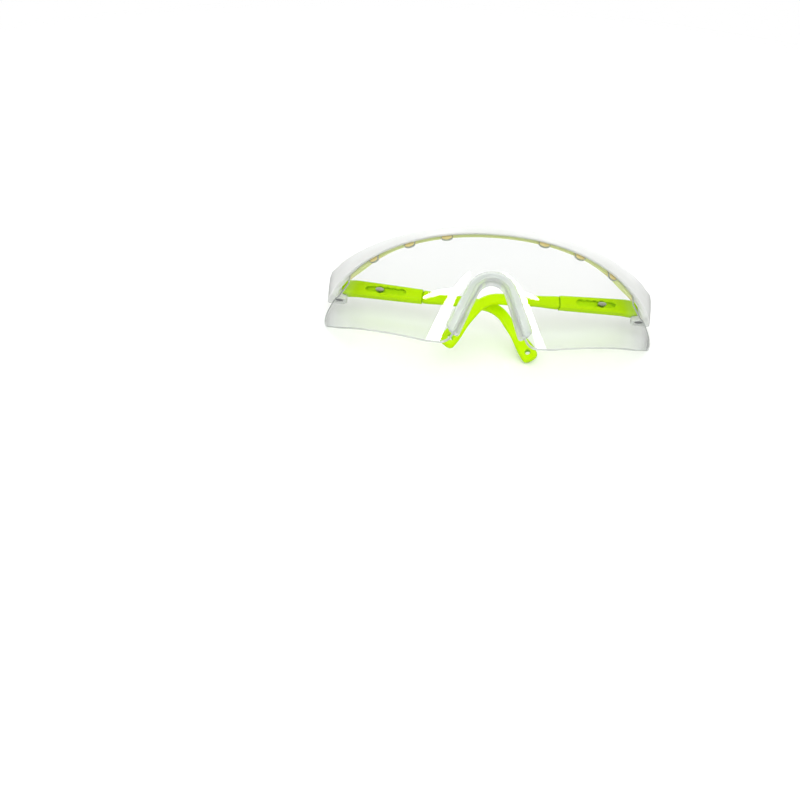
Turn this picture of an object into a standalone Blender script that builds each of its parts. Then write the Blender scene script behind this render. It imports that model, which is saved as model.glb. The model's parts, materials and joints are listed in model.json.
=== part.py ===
"""Sports protective goggles: a clear wraparound shield under a moulded brow bar, with a soft nose
piece, a soft brow pad and two folding temples whose ear pieces slide out in steps.

The pieces are modelled as worn: the front faces -Y, +Z is up, and the origin is on the lens's outer
face, at the middle of the brow bar's lower lip. The goggles are then laid back on a table with the
temples folded, where they rest on the outer lens corners and on the tip of the rear temple.
Left and right are as seen from the front.
"""

from math import cos, pi, radians, sin, sqrt, tan

import bmesh
import bpy
import numpy as np
from mathutils import Matrix, Vector

MM = 0.001

# Fits
GAP = 0.3 * MM                      # between pieces that touch
HINGE_GAP = 0.6 * MM                # round a temple's knuckle
SMOOTH_ANGLE = radians(35)          # edges sharper than this stay crisp

# Lens: a clear shield bent round one upright cylinder, laid out flat as (arc, height)
LENS_RADIUS = 73 * MM               # of its outer face
LENS_THICKNESS = 2.0 * MM
FACE_TILT = radians(4.5)            # the lower edge sits back towards the face
LENS_TOP_ARC = 68.2 * MM            # the top edge leaves the brow bar's groove here
LENS_SHOULDER_ARC = 68.9 * MM
LENS_SHOULDER_DROP = 2.1 * MM       # below the lip
LENS_SHOULDER_RADIUS = 1.0 * MM
LENS_LEDGE_START = (75.3 * MM, -15.9 * MM)  # a short level part of the slanting side, under the pod
LENS_LEDGE_END = (79.5 * MM, -16.2 * MM)
LENS_LEDGE_RADIUS = 3.0 * MM
LENS_END_ARC = 90.2 * MM
LENS_END_TOP = -20.4 * MM
LENS_END_BOTTOM = -25.2 * MM
LENS_END_TOP_RADIUS = 2.5 * MM
LENS_END_BOTTOM_RADIUS = 3.7 * MM
LENS_WING_ARC = 74 * MM             # the lower edge steepens outside this point
LENS_WING_BOTTOM = -30.6 * MM
LENS_WING_RADIUS = 30 * MM
LENS_CHEEK_ARC = 26 * MM
LENS_CHEEK_BOTTOM = -43.9 * MM
LENS_CHEEK_RADIUS = 20 * MM
NOSE_CORNER_BOTTOM = -45.2 * MM
NOSE_CORNER_RADIUS = 5 * MM
NOSE_ARCH_TOP = -18.3 * MM
NOSE_ARCH_RADIUS = 7.7 * MM
NOSE_LEG_ANGLE = radians(21.5)      # from upright
LENS_STEP = 3.0 * MM                # between upright facets
STATION_MERGE = 0.03 * MM           # stations closer than this are one

# Vents: bites in the lens's top edge
VENT_ARCS = (19.8 * MM, 35.9 * MM, 53.5 * MM)
VENT_HALF_WIDTH = 2.35 * MM
VENT_DROP = 1.2 * MM                # below the lip
VENT_WALL = 0.05 * MM               # width that a vent's side takes up
VENT_STEPS = 10

# Brow bar: a lipped roof that grips the lens's top edge and ends in two hinge pods
LIP_THICKNESS = 1.8 * MM
LIP_BOTTOM = -1.0 * MM
LIP_FALL = 9.9 * MM                 # of the lip's lower edge at the fall arc
LIP_FALL_POWER = 2.3
BAR_TOP = 2.1 * MM
BAR_FALL = 5.2 * MM                 # of the bar's upper edge at the fall arc
BAR_FALL_POWER = 1.5
FALL_ARC = 70 * MM
ROOF_DEPTH = 7.6 * MM               # behind the lens's outer face
ROOF_RISE = 3.4 * MM
BAR_WALL = 1.3 * MM
EDGE_ROUND = 0.5 * MM
EDGE_SHARE = 0.2                    # of the bar's depth, at most, for its rear edge's rounding
ROOF_BREAK = 0.3                    # share of the depth where the roof's slope begins to fan out
LIP_CROWN = 0.12 * MM               # bulge of the front face
GROOVE_DEPTH = 2.0 * MM
RIB_THICKNESS = 1.1 * MM
RIB_DROP = 0.1 * MM                 # of the rib below the groove's ceiling
POD_START_ANGLE = radians(60)       # the bar turns tighter here, towards straight back
POD_END_ANGLE = radians(86)
POD_RADIUS = 24 * MM
POD_STRAIGHT = 4.5 * MM
POD_TOP = -3.7 * MM
POD_BOTTOM = -14.6 * MM
POD_RISE_SHARE = 0.25               # of the roof's slope
POD_DEPTH = 6.8 * MM
POD_WALL = 2.4 * MM                 # outside the knuckle, and of the shell in front of it
POD_BLOCK_LENGTH = 10.2 * MM        # of the solid part round the hinge
POD_BLOCK_BLEND = 2.6 * MM
ROOF_FADE_START = 64 * MM           # the roof narrows to the shell between these arcs
ROOF_FADE_END = 78 * MM
CLOSE_START = 72 * MM               # the groove closes between these
CLOSE_END = 78 * MM
RIB_SHARES = (0.45, 0.7)            # of the depth left for the rib where the roof narrows
POD_END_ROUND = 2.6 * MM
POD_END_INSET = 2.3 * MM            # of the rounded end's last section
CLOSED_GROOVE = 0.15 * MM           # what is left of the groove under a pod
BROW_STEP = 1.9 * MM

# Brow pad: a soft strip under the roof, with a toe under the rib that backs the lens
PAD_END_ARC = 70 * MM
PAD_BACK_INSET = 0.4 * MM           # inside the roof's rear edge
PAD_LIFT = 0.35 * MM                # of its toe above the lip's lower edge, in the middle
PAD_END_LIFT = 1.2 * MM             # and at the ends
PAD_ROUND = 0.3 * MM
PAD_END_ROUND = 2.0 * MM
PAD_END_SHARE = 0.45                # of the section left at a rounded end

# Nose piece: a soft channel that clips on the lens's nose cut-out
NOSE_LEG_LENGTH = 17.1 * MM         # below the arch
NOSE_LIP_TOP = 2.0 * MM             # width of the front lip at the arch and at the feet
NOSE_LIP_FOOT = 3.3 * MM
NOSE_LIP_THICKNESS = 1.1 * MM
NOSE_WEB_TOP = 1.9 * MM             # width inside the cut-out at the arch and at the feet
NOSE_WEB_FOOT = 1.2 * MM
NOSE_PAD_TOP = 4.8 * MM             # depth behind the lens's outer face at the arch and at the feet
NOSE_PAD_FOOT = 7.0 * MM
NOSE_ROUND = 0.7 * MM
NOSE_PAD_SHARES = (0.4, 0.8, 0.75)  # of the pad's depth at its lip edge, lip corner and inner corner
NOSE_FOOT_SHARES = (0.85, 0.55)     # of the section left along a rounded foot
NOSE_ARCH_STEPS = 8
NOSE_LEG_STEPS = 6

# Hinges
HINGE_HEIGHT = -9.0 * MM
HINGE_SETBACK = 5.1 * MM            # from the pod's rear end
PIN_RADIUS = 0.9 * MM
PIN_HEAD_RADIUS = 1.5 * MM
PIN_HEAD_HEIGHT = 0.8 * MM
PIN_TOP_COVER = 1.0 * MM            # of the upper ear left over the pin
FOLD_LEFT = radians(7)              # past square, for the rear temple
FOLD_RIGHT = radians(14.5)          # past square, for the front temple
SLOT_RELIEF = radians(55)           # of the pod's opening, past square

# Temple sleeves
KNUCKLE_RADIUS = 2.6 * MM
KNUCKLE_FACETS = (12, 35, 60)       # degrees from the temple's line
SLEEVE_LENGTH = 35.0 * MM
SLEEVE_ROOT_HEIGHT = 6.4 * MM
SLEEVE_END_HEIGHT = 5.6 * MM
SLEEVE_END_THICKNESS = 4.7 * MM
SLEEVE_ROOT_LENGTH = 7.0 * MM       # square to the hinge, before the temple slopes down
SLEEVE_ROUND = 1.2 * MM
TEMPLE_SLOPE = radians(5.9)
CAVITY_START = 9.2 * MM

# Length adjustment
LENGTH_STEP = 3.0 * MM
LENGTH_STEPS = 3
STUD_PLACE = 17.0 * MM              # from the hinge, at the shortest length
STUD_RADIUS = 0.7 * MM
STUD_HEAD_LENGTH = 3.6 * MM
STUD_HEAD_HEIGHT = 1.7 * MM
STUD_PROUD = 0.25 * MM              # of the sleeve's inner face
STUD_HOLE_DEPTH = 1.5 * MM
SLOT_NECK = 0.3 * MM                # clear of the stud's head at a neck and, in all, at a lobe
SLOT_LOBE = 0.7 * MM
SLOT_END = 0.4 * MM                 # clear of the stud's head at the slot's ends
SLOT_LEAD = 3.8 * MM                # plain length towards the hinge, where the stud goes in

# Ear pieces
TONGUE_START = 10.8 * MM
TONGUE_THICKNESS = 2.1 * MM
TONGUE_HEIGHT = 3.4 * MM
EAR_START_THICKNESS = 4.0 * MM
EAR_START_HEIGHT = 5.1 * MM
EAR_THICKNESS = 3.3 * MM
EAR_HEIGHT = 4.4 * MM
EAR_TAPER_END = 46 * MM
EAR_ROUND = 1.1 * MM
BEND_START = 60.2 * MM
BEND_RADIUS = 14 * MM
HOOK_ANGLE = radians(56)
HOOK_LENGTH = 21.1 * MM             # from the bend to the end
TIP_HEIGHT = 6.8 * MM
TIP_TAPER_LENGTH = 15 * MM
TIP_END_ROUND = 1.9 * MM
CORD_HOLE_RADIUS = 1.15 * MM
CORD_HOLE_FROM_END = 3.4 * MM
BEND_STEPS = 9

CORNER_STEPS = 3                    # facets round a section's corner
ROUND_SEGMENTS = 20                 # facets round a pin, stud or hole
CUT_REACH = 12 * MM                 # how far a cutter passes outside what it cuts


def clear_scene():
    for thing in list(bpy.data.objects):
        bpy.data.objects.remove(thing)


def material(name, colour, roughness, metallic=0.0, transmission=0.0):
    made = bpy.data.materials.new(name)
    made.use_nodes = True
    shader = made.node_tree.nodes["Principled BSDF"]
    shader.inputs["Base Color"].default_value = (*colour, 1.0)
    shader.inputs["Roughness"].default_value = roughness
    shader.inputs["Metallic"].default_value = metallic
    shader.inputs["Transmission Weight"].default_value = transmission
    return made


def empty(name, location=(0, 0, 0), turn=0.0, parent=None):
    made = bpy.data.objects.new(name, None)
    made.location = location
    made.rotation_euler = (0, 0, turn)
    made.parent = parent
    bpy.context.collection.objects.link(made)
    return made


def place(name, form, parent, surface=None):
    mesh = bpy.data.meshes.new(name)
    form.to_mesh(mesh)
    form.free()
    mesh.shade_smooth()
    mesh.set_sharp_from_angle(angle=SMOOTH_ANGLE)
    made = bpy.data.objects.new(name, mesh)
    made.parent = parent
    if surface:
        mesh.materials.append(surface)
    bpy.context.collection.objects.link(made)
    return made


def cut(target, name, form):
    """Takes a form away from a piece that shares its parent."""
    cutter = place(name, form, target.parent)
    cutter.hide_render = True
    cutter.display_type = "WIRE"
    boolean = target.modifiers.new(name, "BOOLEAN")
    boolean.operation = "DIFFERENCE"
    boolean.object = cutter


def loft(rings):
    """Closed skin through rings of equally many points, capped at both ends."""
    form = bmesh.new()
    loops = [[form.verts.new(point) for point in ring] for ring in rings]
    for near, far in zip(loops, loops[1:]):
        for i, corner in enumerate(near):
            j = (i + 1) % len(near)
            form.faces.new((corner, near[j], far[j], far[i]))
    form.faces.new(loops[0])
    form.faces.new(loops[-1])
    bmesh.ops.recalc_face_normals(form, faces=form.faces)
    return form


def lathe(profile, axis=Matrix()):
    """Turned solid from (radius, height) points along local Z, carried over by a matrix."""
    angles = [2 * pi * i / ROUND_SEGMENTS for i in range(ROUND_SEGMENTS)]
    return loft([[axis @ Vector((radius * cos(a), radius * sin(a), height)) for a in angles]
                 for radius, height in profile])


def blend(start, end, share):
    return start + (end - start) * share


def smooth_share(value, start, end):
    share = min(max((value - start) / (end - start), 0.0), 1.0)
    return share * share * (3 - 2 * share)


def spaced(start, end, step):
    count = max(2, round(abs(end - start) / step) + 1)
    return [float(value) for value in np.linspace(start, end, count)]


def rounded_path(points, radii, steps=6):
    """Open flat path with an arc of the given radius at each inner corner."""
    path = [Vector(points[0])]
    for before, corner, after, radius in zip(points, points[1:], points[2:], radii):
        corner = Vector(corner)
        inward = (Vector(before) - corner).normalized()
        onward = (Vector(after) - corner).normalized()
        half = inward.angle(onward) / 2
        centre = corner + (inward + onward).normalized() * (radius / sin(half))
        first = corner + inward * (radius / tan(half)) - centre
        last = corner + onward * (radius / tan(half)) - centre
        for i in range(steps + 1):
            path.append(centre + first.slerp(last, i / steps) * radius)
    path.append(Vector(points[-1]))
    return path


def rounded_section(half_width, half_height, radius):
    """Rounded rectangle as (across, up) points."""
    radius = min(radius, half_width * 0.95, half_height * 0.95)
    points = []
    for quarter, (sign_x, sign_y) in enumerate(((1, 1), (-1, 1), (-1, -1), (1, -1))):
        for i in range(CORNER_STEPS + 1):
            angle = pi / 2 * (quarter + i / CORNER_STEPS)
            points.append((sign_x * (half_width - radius) + radius * cos(angle),
                           sign_y * (half_height - radius) + radius * sin(angle)))
    return points


def lens_point(arc, depth, height):
    """Point behind the lens's outer face, at an arc length from the middle."""
    angle = arc / LENS_RADIUS
    radius = LENS_RADIUS - depth
    return Vector((radius * sin(angle), LENS_RADIUS - radius * cos(angle) - height * tan(FACE_TILT), height))


def brow_line(arc):
    """Plan position and heading of the brow bar's reference line, which follows the lens's outer
    face and turns tighter along the pods."""
    side = 1 if arc >= 0 else -1
    arc = abs(arc)
    turn_start = LENS_RADIUS * POD_START_ANGLE
    turn_end = turn_start + POD_RADIUS * (POD_END_ANGLE - POD_START_ANGLE)
    heading = min(arc, turn_start) / LENS_RADIUS
    x = LENS_RADIUS * sin(heading)
    y = LENS_RADIUS * (1 - cos(heading))
    if arc > turn_start:
        start = heading
        heading += (min(arc, turn_end) - turn_start) / POD_RADIUS
        x += POD_RADIUS * (sin(heading) - sin(start))
        y += POD_RADIUS * (cos(start) - cos(heading))
    straight = max(arc - turn_end, 0.0)
    return side * (x + straight * cos(heading)), y + straight * sin(heading), side * heading


def brow_point(arc, depth, height):
    x, y, heading = brow_line(arc)
    return Vector((x - depth * sin(heading), y + depth * cos(heading) - height * tan(FACE_TILT), height))


BROW_END_ARC = (LENS_RADIUS * POD_START_ANGLE + POD_RADIUS * (POD_END_ANGLE - POD_START_ANGLE)
                + POD_STRAIGHT)
HINGE_DEPTH = POD_WALL - LIP_THICKNESS + HINGE_GAP + KNUCKLE_RADIUS


def pod_level_share(arc):
    """How far the bar has reached the pods' own heights, which it has well before the knuckles."""
    return smooth_share(abs(arc), LENS_RADIUS * POD_START_ANGLE, BROW_END_ARC - 2 * HINGE_SETBACK)


def lip_bottom(arc):
    bottom = LIP_BOTTOM - LIP_FALL * (abs(arc) / FALL_ARC) ** LIP_FALL_POWER
    return blend(bottom, POD_BOTTOM, pod_level_share(arc))


def bar_top(arc):
    top = BAR_TOP - BAR_FALL * (abs(arc) / FALL_ARC) ** BAR_FALL_POWER
    return blend(top, POD_TOP, pod_level_share(arc))


def roof_underside(arc, depth):
    """Height of the roof's underside, which rises towards the back."""
    return bar_top(arc) + ROOF_RISE * depth / ROOF_DEPTH - BAR_WALL


def lens_lower_edge():
    """Lower edge of the lens's right half: nose arch, leg, rounded corner, cheek, wing and end."""
    centre = NOSE_ARCH_TOP - NOSE_ARCH_RADIUS
    arch = []
    for i in range(NOSE_ARCH_STEPS):
        angle = blend(pi / 2, NOSE_LEG_ANGLE, i / NOSE_ARCH_STEPS)
        arch.append(Vector((NOSE_ARCH_RADIUS * cos(angle), centre + NOSE_ARCH_RADIUS * sin(angle))))
    leg_start = nose_edge(0.0)[0]
    corner_run = (leg_start.y - NOSE_CORNER_BOTTOM) * tan(NOSE_LEG_ANGLE)
    points = [leg_start,
              (leg_start.x + corner_run, NOSE_CORNER_BOTTOM),
              (LENS_CHEEK_ARC, LENS_CHEEK_BOTTOM),
              (LENS_WING_ARC, LENS_WING_BOTTOM),
              (LENS_END_ARC, LENS_END_BOTTOM),
              (LENS_END_ARC, (LENS_END_TOP + LENS_END_BOTTOM) / 2)]
    radii = (NOSE_CORNER_RADIUS, LENS_CHEEK_RADIUS, LENS_WING_RADIUS, LENS_END_BOTTOM_RADIUS)
    return arch + rounded_path(points, radii)


def lens_upper_edge():
    """Upper edge of the lens's right half outside the groove: shoulder, slanting side and end."""
    points = [(LENS_TOP_ARC, lens_groove_edge(LENS_TOP_ARC)),
              (LENS_SHOULDER_ARC, lip_bottom(LENS_SHOULDER_ARC) - LENS_SHOULDER_DROP),
              LENS_LEDGE_START,
              LENS_LEDGE_END,
              (LENS_END_ARC, LENS_END_TOP),
              (LENS_END_ARC, (LENS_END_TOP + LENS_END_BOTTOM) / 2)]
    radii = (LENS_SHOULDER_RADIUS, LENS_LEDGE_RADIUS, LENS_LEDGE_RADIUS, LENS_END_TOP_RADIUS)
    return rounded_path(points, radii)


def lens_groove_edge(arc):
    """Height of the lens's edge in the brow bar's groove, bitten away at the vents."""
    height = lip_bottom(arc) + GROOVE_DEPTH - GAP
    for vent in VENT_ARCS:
        share = (abs(arc) - vent) / VENT_HALF_WIDTH
        if abs(share) < 1 - VENT_WALL / VENT_HALF_WIDTH / 2:
            height = lip_bottom(vent) - VENT_DROP * sqrt(1 - share * share)
    return height


def build_lens(parent, surface):
    lower = lens_lower_edge()
    upper = lens_upper_edge()
    vent_shares = [sin(pi / 2 * blend(-1, 1, i / VENT_STEPS)) for i in range(VENT_STEPS + 1)]
    arcs = spaced(0, LENS_END_ARC, LENS_STEP)
    arcs += [point.x for point in lower + upper]
    for vent in VENT_ARCS:
        arcs += [vent + (VENT_HALF_WIDTH - VENT_WALL) * share for share in vent_shares]
        arcs += [vent - VENT_HALF_WIDTH, vent + VENT_HALF_WIDTH]
    stations = []
    for arc in sorted(arcs):
        if not stations or arc - stations[-1] > STATION_MERGE:
            stations.append(arc)

    def ring(arc):
        low = float(np.interp(abs(arc), [p.x for p in lower], [p.y for p in lower]))
        high = lens_groove_edge(arc)
        if abs(arc) > LENS_TOP_ARC:
            high = float(np.interp(abs(arc), [p.x for p in upper], [p.y for p in upper]))
        if abs(arc) > LENS_END_ARC - STATION_MERGE:
            low = lower[-2].y
            high = upper[-2].y
        return [lens_point(arc, 0, high), lens_point(arc, 0, low),
                lens_point(arc, LENS_THICKNESS, low), lens_point(arc, LENS_THICKNESS, high)]

    mirrored = [-arc for arc in reversed(stations[1:])]
    return place("lens", loft([ring(arc) for arc in mirrored + stations]), parent, surface)


def bar_depth(arc):
    """Depth of the bar's rear edge: a roof, then only a shell, then a block round the hinge."""
    shell = POD_WALL - LIP_THICKNESS
    roof = blend(ROOF_DEPTH, shell, smooth_share(abs(arc), ROOF_FADE_START, ROOF_FADE_END))
    block_start = BROW_END_ARC - POD_BLOCK_LENGTH
    return blend(roof, POD_DEPTH, smooth_share(abs(arc), block_start, block_start + POD_BLOCK_BLEND))


def brow_section(arc):
    """Section of the brow bar as (depth, height): front lip, roof, rib and groove, closing to a
    shell and then a solid block along the pods and rounded off at the ends."""
    low = lip_bottom(arc)
    top = bar_top(arc)
    closed = smooth_share(abs(arc), CLOSE_START, CLOSE_END)
    back = bar_depth(arc)
    back_top = top + ROOF_RISE * back / ROOF_DEPTH * blend(1, POD_RISE_SHARE, closed)
    rib_front = min(LENS_THICKNESS + GAP, RIB_SHARES[0] * back)
    rib_back = min(LENS_THICKNESS + GAP + RIB_THICKNESS, RIB_SHARES[1] * back)
    groove_top = low + blend(GROOVE_DEPTH, CLOSED_GROOVE, closed)
    rib_bottom = blend(groove_top - RIB_DROP, low, closed)
    under_front = blend(roof_underside(arc, rib_back), low + CLOSED_GROOVE, closed)
    under_back = blend(roof_underside(arc, back), low, closed)
    front = -LIP_THICKNESS
    edge = min(EDGE_ROUND, (back - front) * EDGE_SHARE)
    section = [(front + EDGE_ROUND, low),
               (front, low + EDGE_ROUND),
               (front - LIP_CROWN, (low + top) / 2),
               (front, top - EDGE_ROUND),
               (front + EDGE_ROUND, top),
               (blend(front, back, ROOF_BREAK), blend(top, back_top, ROOF_BREAK)),
               (back - 2 * edge, back_top),
               (back - edge / 2, back_top - edge / 3),
               (back, back_top - edge),
               (back, under_back),
               (rib_back, under_front),
               (rib_back, rib_bottom),
               (rib_front, rib_bottom),
               (rib_front, groove_top),
               (-GAP, groove_top),
               (-GAP, low)]
    left = BROW_END_ARC - abs(arc)
    if left < POD_END_ROUND:
        inset = POD_END_INSET * (1 - sqrt(1 - (1 - max(left, 0) / POD_END_ROUND) ** 2))
        depth_keep = 1 - 2 * inset / (back - front)
        height_keep = 1 - 2 * inset / (top - low)
        section = [(blend((front + back) / 2, depth, depth_keep), blend((low + top) / 2, height, height_keep))
                   for depth, height in section]
    return section


def hinge_place(side):
    """Hinge axis where it crosses the middle height of the pod."""
    return brow_point(side * (BROW_END_ARC - HINGE_SETBACK), HINGE_DEPTH, HINGE_HEIGHT)


def build_brow_bar(parent, surface):
    round_start = BROW_END_ARC - POD_END_ROUND
    stations = spaced(0, round_start, BROW_STEP)
    stations += [round_start + POD_END_ROUND * sin(pi / 2 * share) for share in (0.25, 0.5, 0.75, 1)]
    mirrored = [-arc for arc in reversed(stations[1:])]
    rings = [[brow_point(arc, depth, height) for depth, height in brow_section(arc)]
             for arc in mirrored + stations]
    bar = place("brow_bar", loft(rings), parent, surface)
    for side, name in ((-1, "left"), (1, "right")):
        cut(bar, "hinge_slot_" + name, hinge_slot(side))
        cut(bar, "hinge_hole_" + name, hinge_hole(side))
    return bar


def hinge_slot(side):
    """Opening of a pod's clevis: clear of the knuckle, and of the temple from folded to open."""
    hinge = hinge_place(side)
    reach = KNUCKLE_RADIUS + HINGE_GAP
    front = -reach
    inner = 2 * CUT_REACH
    plan = [(reach, front),
            (0, front),
            (-inner, front - inner * tan(SLOT_RELIEF)),
            (-inner, CUT_REACH),
            (reach, CUT_REACH)]
    half = SLEEVE_ROOT_HEIGHT / 2 + GAP
    return loft([[hinge + Vector((side * x, y, height)) for x, y in plan] for height in (-half, half)])


def pin_span():
    """Heights of the pin's lower and upper ends, relative to the hinge."""
    lower = POD_BOTTOM - HINGE_HEIGHT + GAP
    upper = POD_TOP - HINGE_HEIGHT - PIN_TOP_COVER
    return lower, upper


def hinge_hole(side):
    lower, upper = pin_span()
    profile = [(PIN_HEAD_RADIUS + GAP, lower - CUT_REACH),
               (PIN_HEAD_RADIUS + GAP, lower + PIN_HEAD_HEIGHT + GAP),
               (PIN_RADIUS + GAP, lower + PIN_HEAD_HEIGHT + GAP),
               (PIN_RADIUS + GAP, upper + GAP)]
    return lathe(profile, Matrix.Translation(hinge_place(side)))


def build_hinge_pin(name, side, parent, surface):
    lower, upper = pin_span()
    profile = [(PIN_HEAD_RADIUS - EDGE_ROUND, lower),
               (PIN_HEAD_RADIUS, lower + EDGE_ROUND / 2),
               (PIN_HEAD_RADIUS, lower + PIN_HEAD_HEIGHT),
               (PIN_RADIUS, lower + PIN_HEAD_HEIGHT),
               (PIN_RADIUS, upper - EDGE_ROUND / 2),
               (PIN_RADIUS - EDGE_ROUND / 2, upper)]
    pin = place(name, lathe(profile), parent, surface)
    pin.location = hinge_place(side)
    return pin


def build_brow_pad(parent, surface):
    toe = LENS_THICKNESS + GAP
    front = toe + RIB_THICKNESS + GAP
    stations = spaced(0, PAD_END_ARC - PAD_END_ROUND, BROW_STEP)
    stations += [PAD_END_ARC - PAD_END_ROUND * (1 - sin(pi / 2 * share)) for share in (0.4, 0.7, 1)]

    def ring(arc):
        low = lip_bottom(arc) + blend(PAD_LIFT, PAD_END_LIFT, (arc / PAD_END_ARC) ** 2)
        toe_top = lip_bottom(arc) + GROOVE_DEPTH - RIB_DROP - GAP
        back = bar_depth(arc) - PAD_BACK_INSET
        rise = ROOF_RISE * (back - front) / ROOF_DEPTH
        front_top = roof_underside(arc, front) - GAP
        section = [(toe + PAD_ROUND / 2, low), (toe, low + PAD_ROUND), (toe, toe_top), (front, toe_top),
                   (front, front_top), (back, front_top + rise), (back, low + rise + PAD_ROUND),
                   (back - PAD_ROUND / 2, low + rise)]
        over = max(abs(arc) - (PAD_END_ARC - PAD_END_ROUND), 0) / PAD_END_ROUND
        keep = sqrt(1 - (1 - PAD_END_SHARE ** 2) * over * over)
        middle = ((toe + back) / 2, (low + toe_top) / 2)
        return [brow_point(arc, blend(middle[0], depth, keep), blend(middle[1], height, keep))
                for depth, height in section]

    mirrored = [-arc for arc in reversed(stations[1:])]
    return place("brow_pad", loft([ring(arc) for arc in mirrored + stations]), parent, surface)


def nose_edge(run):
    """Point and outward direction on the right half of the nose cut-out. A negative run is an angle
    share along the arch, from -1 at its top, and a positive one a length down the leg."""
    angle = blend(NOSE_LEG_ANGLE, pi / 2, max(-run, 0.0)) if run < 0 else NOSE_LEG_ANGLE
    outward = Vector((cos(angle), sin(angle)))
    point = Vector((0, NOSE_ARCH_TOP - NOSE_ARCH_RADIUS)) + outward * NOSE_ARCH_RADIUS
    if run > 0:
        point += Vector((sin(NOSE_LEG_ANGLE), -cos(NOSE_LEG_ANGLE))) * run
    return point, outward


def nose_section(share, keep):
    """Section of the nose piece as (across the edge, depth): a channel over the lens's edge with a
    pad behind it. The share goes from the arch's top to the foot."""
    lip = blend(NOSE_LIP_TOP, NOSE_LIP_FOOT, share)
    web = blend(NOSE_WEB_TOP, NOSE_WEB_FOOT, share)
    pad = blend(NOSE_PAD_TOP, NOSE_PAD_FOOT, share)
    face = -GAP - NOSE_LIP_THICKNESS
    back = LENS_THICKNESS + GAP
    lip_edge, lip_corner, inner_corner = NOSE_PAD_SHARES
    section = [(lip * keep, -GAP), (-GAP, -GAP), (-GAP, back), (lip * keep, back),
               (lip * keep, blend(back, pad, lip_edge * keep)),
               (lip * keep - NOSE_ROUND, blend(back, pad, lip_corner * keep)),
               (-web / 2, blend(back, pad, keep)),
               (-web + NOSE_ROUND / 3, blend(back, pad, inner_corner * keep)),
               (-web, LENS_THICKNESS / 2),
               (-web + NOSE_ROUND / 3, face + NOSE_ROUND),
               (-web + 2 * NOSE_ROUND, face),
               (lip * keep - NOSE_ROUND, face),
               (lip * keep, face + NOSE_ROUND)]
    return section


def build_nose_piece(parent, surface):
    runs = [-1 + i / NOSE_ARCH_STEPS for i in range(NOSE_ARCH_STEPS)]
    runs += spaced(0, NOSE_LEG_LENGTH, NOSE_LEG_LENGTH / NOSE_LEG_STEPS)
    arch_length = NOSE_ARCH_RADIUS * (pi / 2 - NOSE_LEG_ANGLE)
    foot = NOSE_LEG_LENGTH + arch_length
    lengths = [(1 + run) * arch_length if run < 0 else arch_length + run for run in runs]
    shares = [length / foot for length in lengths]
    keeps = [1.0] * len(runs)
    runs += [NOSE_LEG_LENGTH + NOSE_ROUND, NOSE_LEG_LENGTH + 2 * NOSE_ROUND]
    shares += [1.0, 1.0]
    keeps += NOSE_FOOT_SHARES

    def ring(side, run, share, keep):
        edge, outward = nose_edge(run)
        corners = [(edge + outward * across, depth) for across, depth in nose_section(share, keep)]
        return [lens_point(side * corner.x, depth, corner.y) for corner, depth in corners]

    stations = list(zip(runs, shares, keeps))
    rings = [ring(-1, *station) for station in reversed(stations[1:])]
    rings += [ring(1, *station) for station in stations]
    return place("nose_piece", loft(rings), parent, surface)


def temple_height(along):
    """Height of a temple's straight centre line, relative to the hinge."""
    return -max(along - SLEEVE_ROOT_LENGTH, 0.0) * tan(TEMPLE_SLOPE)


def temple_prism(stations, radius, outward):
    """Solid along a temple from stations of (along, thickness, height)."""
    rings = []
    for along, thickness, height in stations:
        section = rounded_section(thickness / 2, height / 2, radius)
        rings.append([Vector((along, outward * across, temple_height(along) + up)) for across, up in section])
    return loft(rings)


def build_sleeve(name, outward, parent, surface):
    angles = [radians(angle) for angle in KNUCKLE_FACETS]
    thickness = 2 * KNUCKLE_RADIUS
    stations = [(-KNUCKLE_RADIUS * cos(angle), thickness * sin(angle), SLEEVE_ROOT_HEIGHT)
                for angle in angles]
    stations += [(along, thickness, SLEEVE_ROOT_HEIGHT) for along in (0, SLEEVE_ROOT_LENGTH)]
    mouth = SLEEVE_LENGTH - EDGE_ROUND
    stations += [(mouth, SLEEVE_END_THICKNESS, SLEEVE_END_HEIGHT),
                 (SLEEVE_LENGTH, SLEEVE_END_THICKNESS - EDGE_ROUND, SLEEVE_END_HEIGHT - EDGE_ROUND)]
    sleeve = place(name, temple_prism(stations, SLEEVE_ROUND, outward), parent, surface)
    cut(sleeve, name + "_cavity", temple_prism(
        [(along, TONGUE_THICKNESS + 2 * GAP, TONGUE_HEIGHT + 2 * GAP)
         for along in (CAVITY_START, SLEEVE_LENGTH + CUT_REACH)], GAP, outward))
    cut(sleeve, name + "_slot", length_slot(outward))
    half = SLEEVE_ROOT_HEIGHT
    cut(sleeve, name + "_pin_hole", lathe([(PIN_RADIUS + GAP, -half), (PIN_RADIUS + GAP, half)]))
    return sleeve


def length_slot(outward):
    """Scalloped slot in the sleeve's inner wall: a plain lead-in, then a lobe for each length."""
    start = STUD_PLACE - SLOT_LEAD
    end = STUD_PLACE + LENGTH_STEPS * LENGTH_STEP
    neck = STUD_HEAD_HEIGHT / 2 + SLOT_NECK
    lobe = STUD_HEAD_HEIGHT / 2 + SLOT_LOBE
    tip = STUD_HEAD_LENGTH / 2 + SLOT_END
    edge = []
    for along in spaced(start, end, LENGTH_STEP / 6):
        wave = 0.5 + 0.5 * cos(2 * pi * (along - STUD_PLACE) / LENGTH_STEP)
        edge.append((along, blend(neck, lobe, wave) if along > STUD_PLACE - LENGTH_STEP / 2 else neck))
    edge = [(start - tip, neck / 2), (start - tip / 2, neck)] + edge
    edge += [(end + tip / 2, lobe), (end + tip, neck)]
    outline = edge + [(along, -half) for along, half in reversed(edge)]
    depths = (-TONGUE_THICKNESS / 2, -KNUCKLE_RADIUS - CUT_REACH)
    return loft([[Vector((along, outward * depth, temple_height(along) + up)) for along, up in outline]
                 for depth in depths])


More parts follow.
